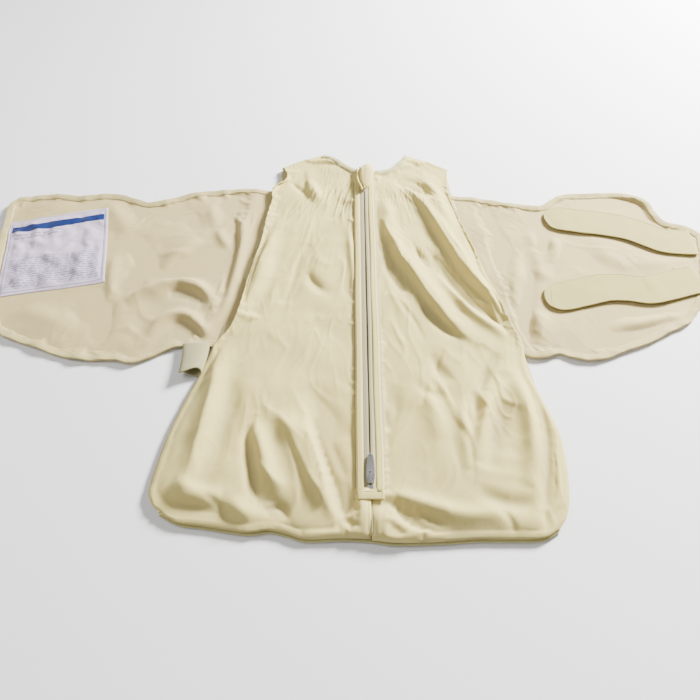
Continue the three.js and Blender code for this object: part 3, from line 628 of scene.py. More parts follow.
front_points = np.column_stack([front_xy, front_level(front_xy)])
front_faces = grid_faces(front_rows, front_columns)
rim = np.zeros((front_rows, front_columns), bool)
rim[0] = rim[-1] = True
rim[:, 0] = rim[:, -1] = True
rim[:, half_columns - 2:half_columns + 2] = True
front_points = relax(front_points, front_faces, rim.ravel(), SPARE_CLOTH, MOST_MOVE, 22)
front_points[:, 2] = np.clip(front_points[:, 2], np.minimum(front_level(front_points[:, :2]), 6.8), 22.5)


def refine(grid):
    """Twice as many points each way, on a smooth surface through the old ones."""
    for axis in (0, 1):
        grid = np.moveaxis(grid, axis, 0)
        ends = np.concatenate([2 * grid[:1] - grid[1:2], grid, 2 * grid[-1:] - grid[-2:-1]])
        between = (9 * (ends[1:-2] + ends[2:-1]) - ends[:-3] - ends[3:]) / 16
        fine = np.empty((2 * len(grid) - 1, *grid.shape[1:]))
        fine[::2], fine[1::2] = grid, between
        grid = np.moveaxis(fine, 0, axis)
    return np.ascontiguousarray(grid)


def crumple(xy, spread_from, wide, long, seed):
    """Thin crests, 0 to 1, that fan out from a place, and come and go."""
    found = []
    for x, y in xy:
        off_x, off_y = x - spread_from[0], spread_from[1] - y
        turn = math.atan2(off_x, off_y) * 420 / wide
        bend = 1.4 * noise.noise((x / 60, y / 60, seed + 7))
        value = noise.noise((turn + bend, math.hypot(off_x, off_y) / long, seed))
        there = max(0.0, noise.noise((x / 55, y / 55, seed + 3)) + 0.28)
        found.append(there * (1 - min(1, math.sqrt(value**2 + 0.0003) / 0.2)))
    return np.array(found)


def hollows(heights, reach, deep):
    """How far each grid point lies below the cloth around it, 0 to 1."""
    around = heights.copy()
    for axis in (0, 1):
        for _ in range(3):
            pad = [(reach, reach) if k == axis else (0, 0) for k in (0, 1)]
            total = np.cumsum(np.pad(around, pad, mode="edge"), axis=axis)
            total = np.concatenate([np.zeros_like(np.take(total, [0], axis)), total], axis)
            width = 2 * reach + 1
            high = np.take(total, range(width, total.shape[axis]), axis)
            around = (high - np.take(total, range(0, high.shape[axis]), axis)) / width
    return np.clip((around - heights) / deep, 0, 1)


# Paints shade into a piece's colour: a point attribute, read by the knit, mixes it towards the painted shade colour.
def paint_shade(piece, values, most=0.42):
    tone = piece.data.attributes.new("painted_shade", "FLOAT", "POINT")
    tone.data.foreach_set("value", (values.ravel() * most).astype(np.float32))


foot_row = 12
front_tree_points, front_tree_faces = [], []
for side, name in [(-1, "left"), (1, "right")]:
    first = 0 if side < 0 else half_columns
    coarse = front_points.reshape(front_rows, front_columns, 3)[:, first:first + half_columns]
    kept = refine(coarse)
    rows_count, columns_count = kept.shape[:2]
    flat = kept.reshape(-1, 3)
    plan = flat[:, :2].copy()
    edges = (hem_line, side_line[side > 0], arm_line[side > 0])
    rim_gap = np.minimum.reduce([distance_to(plan, line)[0] for line in edges])
    loose = np.maximum(smooth(np.abs(plan[:, 0]), 14, 20), smooth(-plan[:, 1], 176, 184))
    loose = loose * smooth(rim_gap, 0, 9)
    pressed = folds(plan, FRONT_CREASES)
    crumpled = 1.9 * crumple(plan, (0, 400), 27, 70, 41.0) + 0.9 * crumple(plan, (40 * side, 380), 15, 34, 57.0)
    flat[:, 2] += loose * (pressed + crumpled)
    flat[:, 2] = np.clip(flat[:, 2], 3.6, 22.5)
    inner = -1 if side < 0 else 0
    kept[:2 * foot_row + 1, inner, 0] = 0.25 * side
    faces = grid_faces(rows_count, columns_count)
    panel = mesh_piece(f"front_{name}_cloth", flat, faces, body_cloth)
    # painted shade: the cloth is coloured darker in its hollows
    paint_shade(panel, hollows(kept[..., 2], 8, 4.5))
    thicken(panel, CLOTH)
    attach(panel, "sack")
    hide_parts(f"front_panel_{name}")
    start = len(front_tree_points)
    front_tree_points += [Vector(p) for p in flat]
    front_tree_faces += [tuple(start + k for k in face) for face in faces]
front_tree = BVHTree.FromPolygons(front_tree_points, front_tree_faces)


def heights_on(tree, at, lift=0.0, beside=None, near=0.0):
    """Heights of a surface at some places. Off its edge, they are those of beside if it is
    given, or of the surface's nearest point to the height near."""
    found = []
    for x, y in at:
        hit = tree.ray_cast(Vector((x, y, 60)), Vector((0, 0, -1)))[0]
        if hit is None and beside is None:
            hit = tree.find_nearest(Vector((x, y, near)))[0]
        found.append((beside if hit is None else hit.z) + lift)
    return np.array(found)


def on_front(at, lift=0.0):
    return heights_on(front_tree, at, lift, beside=6.0)


def near_front(at):
    return heights_on(front_tree, at, near=9.0)


# ---- Seams and stitches ----------------------------------------------------------------
# The cuts are joined by overlock seams: a narrow raised strip where front meets back at the
# sides, hem and shoulders. Visible topstitching is cream cotton thread, one small raised
# stitch every 2.6 mm.
STITCH_EVERY = 2.6
THREAD = 0.34


def plain_finish(name, colour, roughness=0.7, grain=900.0, depth=0.0001, metal=0.0):
    """A finish with a little grain in its colour, roughness and surface."""
    finish = bpy.data.materials.new(name)
    finish.use_nodes = True
    tree = finish.node_tree
    surface = tree.nodes["Principled BSDF"]
    place = node(tree, "ShaderNodeTexCoord").outputs["Object"]
    speck = node(tree, "ShaderNodeTexNoise", Vector=place, Scale=grain, Detail=3.0).outputs[0]
    ramp = node(tree, "ShaderNodeValToRGB", Fac=speck)
    ramp.color_ramp.elements[0].position, ramp.color_ramp.elements[1].position = 0.3, 0.7
    ramp.color_ramp.elements[0].color = (*[0.82 * c for c in colour], 1)
    ramp.color_ramp.elements[1].color = (*colour, 1)
    rough = maths(tree, "MULTIPLY_ADD", speck, 0.16, roughness - 0.08)
    bumped(tree, speck, depth, 0.7)
    tree.links.new(ramp.outputs["Color"], surface.inputs["Base Color"])
    tree.links.new(rough, surface.inputs["Roughness"])
    surface.inputs["Metallic"].default_value = metal
    return finish


thread = plain_finish("cream thread", (0.62, 0.56, 0.27), 0.75, 3000.0)

# One stitch repeated along any line: a short rounded dash laid along the line's direction.
sewing = bpy.data.node_groups.new("topstitch", "GeometryNodeTree")
sewing.is_modifier = True
for name, kind, value in [("Geometry", "NodeSocketGeometry", None), ("Stitch Every", "NodeSocketFloat", 0.0026),
                          ("Stitch Length", "NodeSocketFloat", 0.0021), ("Thread Radius", "NodeSocketFloat", 0.00034),
                          ("Finish", "NodeSocketMaterial", None)]:
    socket = sewing.interface.new_socket(name, in_out="INPUT", socket_type=kind)
    if value is not None:
        socket.default_value = value
sewing.interface.new_socket("Geometry", in_out="OUTPUT", socket_type="NodeSocketGeometry")
into = sewing.nodes.new("NodeGroupInput")
lines = node(sewing, "GeometryNodeMeshToCurve", Mesh=into.outputs["Geometry"])
every = into.outputs["Stitch Every"]
spaced = node(sewing, "GeometryNodeResampleCurve", {"mode": "LENGTH"}, Curve=lines.outputs[0], Length=every)
along = node(sewing, "GeometryNodeInputTangent")
turn = node(sewing, "FunctionNodeAlignRotationToVector", {"axis": "Z"}, Vector=along.outputs[0])
dash = node(sewing, "GeometryNodeMeshUVSphere", Segments=6, Rings=5, Radius=1.0)
half_dash = maths(sewing, "MULTIPLY", into.outputs["Stitch Length"], 0.5)
thick = into.outputs["Thread Radius"]
size = node(sewing, "ShaderNodeCombineXYZ", i0=thick, i1=thick, i2=half_dash)
row = node(sewing, "GeometryNodeInstanceOnPoints", Points=spaced.outputs[0], Instance=dash.outputs[0],
           Rotation=turn.outputs[0], Scale=size.outputs[0])
real = node(sewing, "GeometryNodeRealizeInstances", Geometry=row.outputs[0])
dressed = node(sewing, "GeometryNodeSetMaterial", Geometry=real.outputs[0], Material=into.outputs["Finish"])
out = sewing.nodes.new("NodeGroupOutput")
sewing.links.new(dressed.outputs[0], out.inputs[0])


def stitches(name, rows, finish, every=STITCH_EVERY, length=2.1, radius=THREAD):
    """Stitches along one or more lines of points, as one plain mesh."""
    points, edges = [], []
    for line in rows:
        first = len(points)
        points += [tuple(p) for p in line]
        edges += [(first + k, first + k + 1) for k in range(len(line) - 1)]
    mesh = bpy.data.meshes.new(name)
    mesh.from_pydata([tuple(0.001 * c for c in p) for p in points], edges, [])
    piece = bpy.data.objects.new(name, mesh)
    bpy.context.collection.objects.link(piece)
    made = piece.modifiers.new("topstitch", "NODES")
    made.node_group = sewing
    values = {"Stitch Every": every * 0.001, "Stitch Length": length * 0.001,
              "Thread Radius": radius * 0.001, "Finish": finish}
    for socket in sewing.interface.items_tree:
        if socket.in_out == "INPUT" and socket.name in values:
            made[socket.identifier] = values[socket.name]
    bake(piece)
    return piece


def ribbon(name, line, section, finish, level=None, share=None):
    """A closed strip that follows a line in plan. The section is points (across to the left,
    up); level gives the height below each point, or the line has its own third column."""
    flat = line[:, :2]
    slope = np.gradient(flat, axis=0)
    slope /= np.linalg.norm(slope, axis=1, keepdims=True)
    left = np.column_stack([-slope[:, 1], slope[:, 0]])
    points = []
    for k in range(len(line)):
        size = 1.0 if share is None else share[k]
        for across, up in section:
            points.append([*(flat[k] + left[k] * across * size), up])
    points = np.array(points)
    if level is not None:
        points[:, 2] += level(points[:, :2])
    else:
        points[:, 2] += np.repeat(line[:, 2], len(section))
    faces = tube_faces(len(line), len(section)) + end_caps(len(line), len(section))
    piece = mesh_piece(name, points, faces, finish)
    outwards(piece)
    for polygon in piece.data.polygons:
        polygon.use_smooth = len(polygon.vertices) == 4
    return piece


def rounded(width, thickness, start=None, steps=3):
    """A flat section with rounded ends, from one edge to the other."""
    start = -width / 2 if start is None else start
    radius = thickness / 2
    section = []
    for centre, first in [(start + radius, math.pi / 2), (start + width - radius, -math.pi / 2)]:
        for k in range(steps + 1):
            angle = first + math.pi * k / steps
            section.append((centre + radius * math.cos(angle), radius + radius * math.sin(angle)))
    return section


seam_cloth = knit_finish("cream seam", (0.58, 0.52, 0.23), (0.44, 0.39, 0.17), loop_width=0.0009, depth=0.0003)
for side, name, line in [(-1, "left", LEFT_SIDE), (1, "right", RIGHT_SIDE)]:
    edge = path(line, step=4)
    edge[:, 0] -= side * 6.0
    base = np.column_stack([edge, np.full(len(edge), 1.9)])
    seam = ribbon(f"side_seam_{name}_edge", base, rounded(5, 1.6), seam_cloth)
    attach(seam, "sack")
    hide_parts(f"side_seam_{name}")
hem_edge = path(HEM, step=4) + (0, 0.6)
hem_edge = np.column_stack([hem_edge, 0.7 + 0.4 * np.sin(hem_edge[:, 0] / 26) ** 2])
hem_seam = ribbon("hem_seam_edge", hem_edge, rounded(5.4, 2.2), seam_cloth)
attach(hem_seam, "sack")
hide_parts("hem_seam")
for side, name, line in [(-1, "left", LEFT_SHOULDER), (1, "right", RIGHT_SHOULDER)]:
    edge = path(line, step=4) - (0, 2.0)
    edge = np.column_stack([edge, np.full(len(edge), 3.2)])
    seam = ribbon(f"shoulder_seam_{name}_edge", edge, rounded(5, 2.4), seam_cloth)
    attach(seam, "sack")
    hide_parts(f"shoulder_seam_{name}")

low_hem = float(np.interp(0, path(HEM, step=2)[:, 0], path(HEM, step=2)[:, 1])) + 3
centre = np.column_stack([0.4 * np.sin(np.linspace(0, 5, 16)), np.linspace(low_hem, ZIP_FOOT - 2, 16)])
centre = np.column_stack([centre, on_front(centre + (1.5, 0)) - 1.6])
centre_seam = ribbon("centre_seam_edge", centre, rounded(2.2, 1.7), seam_cloth)
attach(centre_seam, "sack")
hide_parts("centre_seam")
rows = []
for across in (-2.4, 2.4):
    line = centre[:, :2] + (across, 0)
    rows.append(np.column_stack([line, on_front(line, 0.05)]))
centre_stitches = stitches("centre_seam_stitches", rows, thread)
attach(centre_stitches, "sack")


# ---- Neck binding and armhole facings --------------------------------------------------
# The neckline is bound with a folded strip of the same knit, three pieces: left front, right
# front and back. Each armhole's edge is turned back over a narrow facing.
binding_cloth = knit_finish("cream binding", (0.60, 0.54, 0.25), (0.48, 0.43, 0.19), loop_width=0.0009, depth=0.0003)
NECK = {"left": [(-60, 347), (-46, 339), (-28, 320), (-14, 309), (-7, 306.5)],
        "right": [(7, 303.5), (26, 304), (44, 314), (56, 333), (62, 347)]}


for name, points in NECK.items():
    line = path(points, step=3)
    section = [(across, up - 2.1) for across, up in rounded(8.5, 2.7, -7.6, steps=4)]
    strip = ribbon(f"neck_binding_{name}_strip", line, section, binding_cloth, level=near_front)
    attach(strip, "sack")
    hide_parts(f"neck_binding_{name}")
    seam = path(points, step=3)[2:-2]
    slope = np.gradient(seam, axis=0)
    slope /= np.linalg.norm(slope, axis=1, keepdims=True)
    seam = seam + np.column_stack([slope[:, 1], -slope[:, 0]]) * 4.6
    sewn = stitches(f"neck_stitches_{name}", [np.column_stack([seam, on_front(seam, 0.75)])], thread)
    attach(sewn, "sack")
line = path([(-62, 344), (-50, 322), (-26, 305), (0, 301), (26, 305), (50, 322), (62, 344)], step=4)
line = np.column_stack([line, np.full(len(line), 3.3)])
strip = ribbon("neck_binding_back_strip", line, rounded(6, 1.7, -5), binding_cloth)
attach(strip, "sack")
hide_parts("neck_binding_back")

for side, name, points in [(-1, "left", LEFT_ARMHOLE), (1, "right", RIGHT_ARMHOLE)]:
    line = path(points, step=4)[2:-1]
    line = line[line[:, 1] < (258 if side < 0 else 400)]
    inwards = rounded(11, 1.1, -11.6 if side < 0 else 0.6)
    base = np.column_stack([line, on_front(line + (-side * 6.0, 0), -2.7)])
    base[:, 2] = np.convolve(np.pad(base[:, 2], 4, mode="edge"), np.ones(9) / 9, mode="valid")
    facing = ribbon(f"armhole_facing_{name}_band", base, inwards, body_cloth)
    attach(facing, "sack")
    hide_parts(f"armhole_facing_{name}")


# ---- Zip -------------------------------------------------------------------------------
# A nylon coil zip, sewn face down: two woven tapes, a coil along each inner edge, a woven box
# and pin at the neck end, a metal stop at the foot, and a knit strip behind. The folded
# front edges are stitched down beside it.
ZIP_LOW, ZIP_HIGH = -165, 268
# painted shade: the left tape is coloured darker than the right one, though both are the same tape
tape_finish_left_painted_shade = {
    -1: plain_finish("zip tape", (0.33, 0.29, 0.17), 0.8, 1500.0, 0.0002),
    1: plain_finish("zip tape pale", (0.55, 0.50, 0.26), 0.8, 1500.0, 0.0002),
}
zip_y = np.linspace(ZIP_LOW - 3, ZIP_HIGH + 12, 120)
for side, name in [(-1, "left"), (1, "right")]:
    waves = 0.12 * np.sin(zip_y / 17 + side)
    opened = 0.75 + 0.35 * np.sin((zip_y + 165) / 433 * math.pi) ** 2
    # tape: it lies over the coil at the slit and drops under the folded edge
    section = [(0, 12.5), (2.0, 13.0), (4.6, 12.9), (8, 12.2), (14.5, 11.5),
               (14.5, 10.9), (8, 11.6), (4.6, 12.35), (2.0, 12.45), (0.0, 12.1)]
    points = []
    for k, y in enumerate(zip_y):
        for across, up in section:
            points.append((side * (opened[k] + across) + waves[k] * (across < 5), y, up))
    faces = tube_faces(len(zip_y), len(section)) + end_caps(len(zip_y), len(section))
    tape = mesh_piece(f"zip_tape_{name}_cloth", points, faces, tape_finish_left_painted_shade[side])
    outwards(tape)
    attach(tape, "sack")
    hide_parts(f"zipper_tape_{name}")

    # coil: small slanted loops, one every 1.5 mm
    spine = [[(side * 1.75, y, 11.5) for y in np.linspace(ZIP_LOW + 1, ZIP_HIGH - 1, 290)]]
    coil_finish = plain_finish(f"zip coil {name}", (0.16, 0.14, 0.09), 0.5, 800.0)
    coil = stitches(f"zip_coil_{name}_turns", spine, coil_finish, every=1.5, length=1.9, radius=0.85)
    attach(coil, "sack")
    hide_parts(f"zipper_coil_{name}")

    # folded front edge with its row of stitches
    edge_y = np.linspace(ZIP_LOW - 7, 303, 130)
    edge_x = side * (5.6 + 0.25 * np.sin(edge_y / 23 + side) + 1.2 * (side < 0))
    wide = 7.4
    section = [(0.0, 0.0), (0.1, 0.55), (0.7, 0.95), (2.0, 1.05), (4.0, 0.85),
               (6.0, 0.45), (wide, -0.25), (wide, -0.9), (1.0, -0.5)]
    section = [(a if side < 0 else -a, u) for a, u in section]
    base = np.column_stack([edge_x, edge_y, 12.95 + 0.2 * np.sin(edge_y / 31 + 2 * side)])
    base[:, 2] -= 2.2 * smooth(edge_y, 268, 303)
    fold = ribbon(f"placket_{name}_fold", base, section, body_cloth)
    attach(fold, "sack")
    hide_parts(f"placket_{name}")
    row = base + np.array([side * (wide - 2.0), 0, 0.75])
    sewn = stitches(f"placket_stitches_{name}", [row[:-8]], thread, radius=0.3)
    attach(sewn, "sack")

# a stitched box closes the foot of the opening
FOOT_MIDDLE, FOOT_TOP, FOOT_FALL = -174.6, 13.3, 0.05


def foot_level(at):
    """The box lies on the front, and spans the end of the opening."""
    under = near_front(at * (1, 0) + (0, FOOT_MIDDLE))
    return np.maximum(under, FOOT_TOP - FOOT_FALL * np.abs(at[:, 0]))


foot_line = np.column_stack([np.linspace(-12.8, 12.8, 24), np.full(24, FOOT_MIDDLE)])
foot_section = [(a, u - 0.35) for a, u in rounded(9.5, 1.1)]
foot = ribbon("zip_foot_box", foot_line, foot_section, body_cloth, level=foot_level)
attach(foot, "sack")
rows = []
corners = [(-11, -178), (11, -178), (11, -171.6), (-11, -171.6), (-11, -178)]
for low, high in zip(corners, corners[1:]):
    row = np.linspace(low, high, 12)
    rows.append(np.column_stack([row, foot_level(row) + 0.8]))
foot_sewn = stitches("zip_foot_stitches", rows, thread, every=2.0, length=1.7)
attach(foot_sewn, "sack")

underlay_line = np.column_stack([np.zeros(60), np.linspace(-178, 294, 60), np.full(60, 8.3)])
underlay = ribbon("zip_underlay_strip", underlay_line, rounded(34, 0.9), back_cloth)
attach(underlay, "sack")
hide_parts("zipper_underlay")

metal = bpy.data.materials.new("nickel")
metal.use_nodes = True
tree = metal.node_tree
surface = tree.nodes["Principled BSDF"]
place = node(tree, "ShaderNodeTexCoord").outputs["Object"]
scuff = node(tree, "ShaderNodeTexNoise", Vector=place, Scale=90.0, Detail=3.0).outputs[0]
surface.inputs["Metallic"].default_value = 1.0
tone = node(tree, "ShaderNodeValToRGB", Fac=scuff)
tone.color_ramp.elements[0].color = (0.80, 0.79, 0.77, 1)
tone.color_ramp.elements[1].color = (0.86, 0.85, 0.83, 1)
tree.links.new(tone.outputs[0], surface.inputs["Base Color"])
tree.links.new(maths(tree, "MULTIPLY_ADD", scuff, 0.15, 0.16), surface.inputs["Roughness"])
bumped(tree, scuff, 0.00003, 0.3)
box_finish = plain_finish("zip box", (0.64, 0.61, 0.48), 0.45, 600.0)
for name, finish in [("zipper_slider", metal), ("zipper_pull", metal), ("zipper_bottom_stop", metal),
                     ("zipper_retainer_box", box_finish), ("zipper_insertion_pin", box_finish)]:
    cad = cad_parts[name]
    for slot in cad.material_slots:
        slot.material = finish


# ---- Zip guard -------------------------------------------------------------------------
# A folded tab of the body's knit over the neck end of the zip keeps it off the chin: a small
# padded knob, wide and flat at the neckline, rounded below, sewn to the right front edge.
guard_rings, guard_turns = 26, 28
guard_points = []
for r in range(guard_rings):
    share = r / (guard_rings - 1)
    y = 311 - 50 * share
    wide = (7.4 + 2.6 * smooth(share, 0.0, 0.35)) * (1 - share**3.2) ** 0.5 + 0.4
    tall = 4.4 * math.sin(math.pi * min(1, 0.22 + 0.78 * share) ** 0.8) ** 0.6 + 0.5
    middle = 4.6 - 1.6 * share
    lift = 16.4 - 3.0 * smooth(y, 296, 312)
    for k in range(guard_turns):
        angle = 2 * math.pi * k / guard_turns
        crease = 0.7 * math.exp(-(((math.cos(angle) + 0.45) / 0.16) ** 2)) * (math.sin(angle) > 0) * (1 - share)
        rise = (tall - crease * 2.0) * math.sin(angle) * (1 if math.sin(angle) > 0 else 0.55)
        guard_points.append((middle + wide * math.cos(angle), y, lift + 2.4 + rise))
guard_faces = tube_faces(guard_rings, guard_turns) + end_caps(guard_rings, guard_turns)
guard = mesh_piece("zip_guard_knob", guard_points, guard_faces, body_cloth)
outwards(guard)
finer = guard.modifiers.new("finer", "SUBSURF")
finer.levels = finer.render_levels = 1
bake(guard)
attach(guard, "sack")
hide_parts("zipper_guard")

for name, x, low, high in [("outer", -9.4, 256, 306), ("inner", -5.4, 259, 309)]:
    y = np.linspace(low, high, 24)
    x_line = x + 6.0 * (1 - smooth(y, low, low + 30)) ** 1.5
    pleat_line = np.column_stack([x_line, y, 17.0 - 3.2 * smooth(y, low + 14, high)])
    pleat = ribbon(f"guard_pleat_{name}", pleat_line, rounded(3.0, 2.8, steps=4), body_cloth)
    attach(pleat, "sack")


# ---- Wings -----------------------------------------------------------------------------
# Each wing is one layer of the same knit, coloured a little darker than the body, sewn in at
# the side of the back and hemmed all round with a turned edge. They lie spread out with soft folds.
WING = (0.61, 0.485, 0.21)
WING_SHADE = (0.50, 0.395, 0.185)
wing_cloth = knit_finish("wing jersey", WING, WING_SHADE, mottle_size=0.05)
hem_cloth = knit_finish("wing hem", (0.62, 0.51, 0.215), (0.47, 0.38, 0.165), loop_width=0.0009, mottle_size=0.012, depth=0.0003)

WINGS = {
    "left": {
        "root": [(-166, 1), (-148, 40), (-138, 83), (-132, 124), (-127, 161), (-122, 213), (-119, 268)],
        "top": [(-484, 256), (-440, 262), (-400, 259), (-370, 263), (-345, 262), (-318, 252), (-300, 247),
                (-280, 250), (-255, 260), (-228, 268), (-200, 271), (-177, 275), (-150, 273), (-119, 268)],
        "tip": [(-456, 62), (-468, 90), (-476, 130), (-484, 170), (-491, 210), (-494, 240), (-484, 256)],
        "low": [(-456, 62), (-444, 36), (-427, 19), (-386, 3), (-347, -11), (-319, -16), (-288, -16),
                (-267, -20), (-246, -12), (-222, 1), (-193, 3), (-166, 1)],
        "folds": [
            ([(-312, 182), (-300, 160), (-290, 142), (-270, 110)], -3.2, 12, 9),
            ([(-325, 146), (-320, 110), (-313, 68)], 2.4, 9, 7),
            ([(-318, 72), (-314, 40), (-308, 8)], -3.0, 9, 9),
            ([(-298, 128), (-290, 106), (-278, 84)], -2.4, 9, 9),
            ([(-296, 66), (-280, 80), (-263, 90), (-231, 100), (-200, 84), (-184, 54)], 6.5, 8, 11),
            ([(-246, 82), (-228, 84), (-208, 78), (-190, 62)], -4.0, 8, 9),
            ([(-256, 14), (-246, 36), (-230, 48), (-212, 46), (-195, 30), (-176, 8)], 5.0, 8, 8),
            ([(-226, 38), (-210, 28), (-196, 16), (-184, 6)], -4.0, 6, 7),
            ([(-250, 98), (-234, 118), (-218, 134), (-196, 158)], -4.2, 16, 14),
            ([(-262, 120), (-240, 150), (-216, 176)], 3.4, 14, 10),
            ([(-178, 222), (-172, 180), (-173, 124), (-176, 76), (-182, 46)], -3.6, 6, 4),
            ([(-168, 224), (-162, 180), (-163, 124), (-168, 70), (-176, 30)], 3.4, 7, 8),
            ([(-198, 196), (-190, 176), (-178, 160)], 2.6, 8, 7),
            ([(-240, 228), (-232, 205), (-226, 190)], -2.4, 9, 9),
            ([(-215, 240), (-206, 215), (-204, 196)], 2.4, 9, 9),
            ([(-420, 60), (-380, 44), (-340, 40)], 2.0, 14, 14),
            ([(-360, 250), (-330, 210), (-318, 190)], 2.0, 14, 12),
        ],
    },
    "right": {
        "root": [(170, 1), (152, 40), (143, 83), (134, 124), (127, 161), (118, 213), (113, 262)],
        "top": [(113, 262), (150, 256), (190, 247), (222, 240), (245, 239), (262, 251), (278, 261), (310, 264),
                (346, 266), (373, 263), (390, 254), (398, 238), (400, 222), (408, 207), (427, 201), (440, 192), (449, 182)],
        "tip": [(400, 56), (416, 78), (428, 104), (438, 134), (445, 160), (449, 182)],
        "low": [(170, 1), (184, -12), (204, -12), (219, -7), (232, -12), (249, -16), (272, -13), (296, -3),
                (326, 8), (356, 24), (380, 36), (400, 56)],
        "straps": [[(432, 168), (410, 169), (392, 172), (378, 180), (354, 194), (322, 203), (292, 208), (268, 212), (246, 206)],
                   [(418, 104), (398, 100), (371, 92), (346, 86), (320, 90), (294, 90), (262, 82), (238, 76), (217, 78)]],
        "folds": [
            ([(256, 236), (249, 226), (243, 205), (238, 180), (233, 146)], -5.5, 9, 15),
            ([(226, 150), (221, 120), (217, 92), (206, 58), (190, 4)], 5.0, 14, 10),
            ([(216, 124), (206, 84), (196, 50), (184, 4)], -5.0, 6, 9),
            ([(200, 160), (190, 110), (178, 60)], 3.0, 10, 10),
            ([(232, 200), (224, 176), (220, 160)], 3.0, 9, 9),
            ([(246, 180), (250, 160), (240, 130)], 3.4, 9, 9),
            ([(262, 170), (252, 145), (244, 120)], -2.4, 8, 8),
            ([(300, 158), (320, 140), (338, 120)], 2.6, 14, 16),
            ([(290, 58), (330, 56), (388, 68)], -3.0, 9, 9),
            ([(284, 30), (335, 38), (380, 50)], 2.6, 8, 8),
            ([(286, 14), (330, 24), (374, 44)], -2.6, 7, 7),
            ([(300, 248), (340, 252), (376, 240), (392, 214)], -3.4, 8, 10),
            ([(382, 262), (392, 244), (396, 222), (410, 204)], 5.0, 7, 9),
            ([(436, 190), (433, 165), (428, 130)], 4.5, 7, 5),
            ([(160, 240), (170, 200), (184, 150)], -2.6, 9, 9),
        ],
    },
}


def under_straps(xy, name):
    """1 where nothing lies on the wing, and 0 under its straps, which press it flat."""
    gaps = [distance_to(xy, path(line, step=6))[0] for line in WINGS[name].get("straps", [])]
    return np.minimum.reduce([smooth(gap, 20, 40) for gap in gaps]) if gaps else np.ones(len(xy))


def edge_gap(xy, name, edges):
    """Distance to the nearest of some of a wing's edges."""
    return np.minimum.reduce([distance_to(xy, path(WINGS[name][k], step=6))[0] for k in edges])


def wing_level(xy, name):
    cut = WINGS[name]
    gap = edge_gap(xy, name, ("low", "top", "tip"))
    root_gap = edge_gap(xy, name, ("root",))
    seed = 11.0 if name == "left" else 23.0
    relief = 1.5 * folds(xy, cut["folds"]) + rumple(xy, 52, 3.0, seed) + rumple(xy, 20, 0.6, seed + 4)
    flutter = rumple(xy, 16, 2.0, seed + 8) * np.exp(-((gap / 14) ** 2))
    raised = relief * (0.35 + 0.65 * smooth(gap, 0, 18)) + flutter
    level = 4.6 + raised * (0.15 + 0.85 * under_straps(xy, name))
    joined = smooth(root_gap, 12, 42)
    return np.clip(level * joined + 3.4 * (1 - joined), 2.0, 13.0)


def on_wing(piece):
    """Bakes a wing piece's placement into its mesh."""
    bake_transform(piece)


